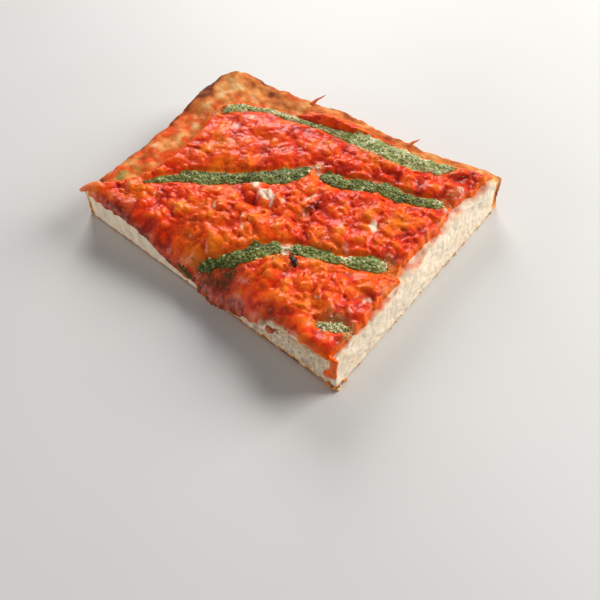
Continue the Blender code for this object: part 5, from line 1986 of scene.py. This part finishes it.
    def strands(self) -> None:
        """Single strands, tips and flecks."""
        orange = {"lift": 0.66, "oil": 0.4, "cheese": 0.12}
        tip = ((5.4, 131, 18.8, 2.2), (3, 133.2, 18.5, 2.2), (0.9, 135.2, 18, 1.9), (-0.9, 137, 17, 1.4),
               (-2, 138.2, 16.4, 0.7))
        Strand("cheese_tip", tip, self.sauce, Slot.SAUCE, orange,
               stands_for=("tomato_cheese_topping",)).build()
        crisp = {"bake": 0.76, "stain": 0.3}
        for name, x, y, reach in (("crisp_horn_back", 103.6, 95.0, 7.0),
                                  ("crisp_horn_right", 108.2, 43.0, 4.0)):
            z = self.landing.drop(x - 0.6, y)
            line = ((x - 1.8, y, z - 0.5, 1.3), (x, y - 0.2, z + 0.2, 1.1),
                    (x + reach * 0.4, y - 0.6, z + 0.9, 0.6), (x + reach * 0.7, y - 1.6, z + 1.2, 0.4),
                    (x + reach, y - 2.4, z + 2.0, 0.15))
            Strand(name, line, self.bread, Slot.BREAD, crisp, cells=18, sides=10).build()
        z = self.landing.drop(24.0, 40.2)
        fleck = ((21.6, 38.6, z + 0.1, 0.5), (22.4, 38.2, z + 0.7, 1.0), (23.6, 39.2, z + 1.0, 1.3),
                 (24.2, 41.4, z + 0.9, 0.9), (25.6, 42.8, z + 0.5, 0.8), (26.6, 42.4, z + 0.1, 0.4))
        Strand("burnt_fleck", fleck, self.sauce, Slot.SAUCE,
               {"maroon": 0.3, "char": 0.94}, 0.5, cells=30, wrinkle=0.55).build()
        chunk = ((-0.4, 29, 12.4, 0.8), (-0.8, 30.2, 12.6, 1.6), (-0.8, 31.6, 12.2, 1.7),
                 (-0.4, 33, 11.6, 0.8))
        Strand("tomato_bit", chunk, self.sauce, Slot.SAUCE,
               {"lift": 0.3, "oil": 0.35, "cheese": 0.15, "maroon": 0.45}, 0.9, cells=16).build()
        skin = ((0.6, 7.0, 17.0, 0.4), (0.5, 10.0, 16.0, 1.0), (0.3, 15.0, 15.7, 1.2), (0.4, 18.5, 14.8, 0.9),
                (0.2, 23.0, 14.6, 1.3), (0.4, 26.0, 13.2, 0.9), (0.4, 29.4, 12.4, 0.5))
        Strand("pale_cheese_skin", skin, self.sauce, Slot.SAUCE,
               {"lift": 0.7, "oil": 0.1, "cheese": 0.8, "herb": 0.5, "pale": 0.8}, 1.2, cells=44,
               wrinkle=0.5).build()


@dataclass(frozen=True)
class Lamp:
    """One soft light: its place and size in metres, its power in watts and its colour."""

    name: str
    place: tuple[float, float, float]
    size: float
    power: float
    colour: tuple[float, float, float]

    def build(self) -> None:
        """Hang the light, pointed at the slice."""
        data = bpy.data.lights.new(self.name, "AREA")
        data.size, data.energy, data.color = self.size, self.power, self.colour
        lamp = bpy.data.objects.new(self.name, data)
        lamp.location = self.place
        lamp.rotation_euler = (-Vector(self.place)).to_track_quat("-Z", "Y").to_euler()
        bpy.context.scene.collection.objects.link(lamp)


@dataclass
class Studio:
    """Floor, lights and camera."""

    effects: Effects
    camera_place: tuple[float, float, float] = (-0.139389, -0.123108, 0.2002)
    camera_turn: tuple[float, float, float] = (34.3498, 0.1128, -50.3875)
    lens: float = 35.7
    sensor: float = 36.0
    view_depth: tuple[float, float] = (0.01, 20.0)
    floor_size: float = 4.0
    floor_gap: float = 0.0001
    sky_colour: tuple[float, float, float, float] = (0.9, 0.9, 0.918, 1.0)
    sky_strength: float = 0.22
    lamps: tuple[Lamp, ...] = (
        Lamp("window", (0.76, -0.50, 0.52), 0.6, 12.0, (1.0, 0.985, 0.965)),
        Lamp("back_window", (0.70, 0.66, 0.58), 0.5, 7.6, (1.0, 0.985, 0.965)),
        Lamp("left_fill", (-0.75, 0.62, 0.16), 0.5, 3.2, (1.0, 0.975, 0.94)),
    )

    def build(self) -> None:
        """Set up everything around the slice."""
        self.build_floor()
        for lamp in self.lamps:
            lamp.build()
        self.build_sky()
        self.build_camera()

    def build_floor(self) -> None:
        """A plain pale floor that the slice rests on."""
        half = self.floor_size / 2
        mesh = bpy.data.meshes.new("floor")
        corners = [(-half, -half, 0), (half, -half, 0), (half, half, 0), (-half, half, 0)]
        mesh.from_pydata(corners, [], [(0, 1, 2, 3)])
        mesh.materials.append(FloorFinish("pale_floor", roughness=0.6).build(self.effects))
        floor = bpy.data.objects.new("floor", mesh)
        floor.location.z = -self.floor_gap
        bpy.context.scene.collection.objects.link(floor)

    def build_sky(self) -> None:
        """Even soft light from all round."""
        world = bpy.data.worlds.new("soft_sky")
        world.use_nodes = True
        background = world.node_tree.nodes["Background"]
        background.inputs["Color"].default_value = self.sky_colour
        background.inputs["Strength"].default_value = self.sky_strength
        bpy.context.scene.world = world

    def build_camera(self) -> None:
        """The camera at the photograph's place and angle."""
        data = bpy.data.cameras.new("camera")
        data.lens, data.sensor_width = self.lens, self.sensor
        data.clip_start, data.clip_end = self.view_depth
        camera = bpy.data.objects.new("camera", data)
        camera.location = self.camera_place
        camera.rotation_euler = [math.radians(a) for a in self.camera_turn]
        bpy.context.scene.collection.objects.link(camera)
        bpy.context.scene.camera = camera
        bpy.context.scene.view_settings.view_transform = "Standard"


PESTO_STRIPES: dict[str, Rows] = {
    "pesto_stripe_rim": (
        (72, 123.6, 2.6), (78, 120.6, 3.6), (83, 115.4, 4), (86.4, 109, 4), (88.2, 102, 3.8),
        (89.6, 94, 3.6), (91.4, 86, 3.4), (93.4, 78, 3.4), (95.2, 70, 5), (97, 60, 8.6), (97.8, 50, 8.8),
        (98.8, 40, 8.6), (101, 31, 7.4), (104.4, 24, 5.6), (107.4, 19.6, 3)),
    "pesto_stripe_back": (
        (18.6, 120, 2.4), (23.2, 116, 4.2), (28.6, 111.2, 5.4), (33.8, 105.2, 7.4), (38.2, 98.2, 8.4),
        (43.2, 91.4, 7.6), (48.2, 85.6, 7.2), (53.2, 79.6, 8.4), (58.2, 74, 8.8), (63.6, 70.4, 6.8),
        (69.6, 69, 3)),
    "pesto_stripe_middle": (
        (67.4, 62, 4), (69.2, 58, 6.6), (70.2, 53, 6.6), (72.2, 48.4, 6), (76, 43, 7.4), (78.8, 37, 7.8),
        (79.6, 30, 7.2), (81.4, 23, 6.2), (84.6, 16.6, 5.6), (87.6, 12, 4.4)),
    "pesto_stripe_front": (
        (2.2, 72.2, 2.6), (7, 66.8, 5), (12, 61.6, 6), (17, 57.6, 7.4), (22.6, 53.4, 7.2),
        (27.6, 48.4, 5.6), (31, 42.6, 5.8), (33.8, 35.6, 5.4), (36, 29, 4.8), (39.2, 22.6, 6.4),
        (42.6, 16.6, 7.4), (45, 11.4, 6)),
    "pesto_stripe_corner": ((8.2, 16.2, 2.6), (10, 12.6, 3.8), (12.2, 8.6, 3.6), (13.6, 6.2, 2.2)),
}


PESTO_LOOKS: dict[str, dict[str, float]] = {
    # The rim stripe is made paler, as painted light.
    "pesto_stripe_rim": {"crown": 0.7, "tint_and_painted_light": 0.48},
    "pesto_stripe_corner": {"crown": 0.4, "tint_and_painted_light": 0.62, "white": 0.4},
    "pesto_stripe_middle": {"tint_and_painted_light": 0.04},
}


def main() -> None:
    """Build and dress the slice, then its surroundings."""
    logging.basicConfig(level=logging.INFO, format="%(name)s %(message)s")
    effects, plan = Effects(), SlicePlan()
    bread_finish = BreadFinish("bread_crumb_and_crust", specular=0.18, subsurface=0.12).build(effects)
    sauce_finish = SauceFinish("baked_tomato_and_cheese", coat=0.24, coat_roughness=0.09, specular=0.14,
                               subsurface=0.1).build(effects)
    pesto_finish = PestoFinish("chopped_pesto", coat=0.1, coat_roughness=0.2, specular=0.25).build(effects)
    bread = BreadBase(plan, bread_finish).build()
    sauce = SauceTopping(plan, sauce_finish, PESTO_STRIPES).build()
    landing = Landing([bread, sauce])
    stripes = [PestoStripe(name, line, pesto_finish, landing, **PESTO_LOOKS.get(name, {})).build()
               for name, line in PESTO_STRIPES.items()]
    CornerDrip(plan, sauce_finish).build()
    LooseBits(PESTO_STRIPES, Landing([bread, sauce, *stripes]), bread_finish, sauce_finish,
              pesto_finish).build()
    Studio(effects).build()


if __name__ == "__main__":
    main()
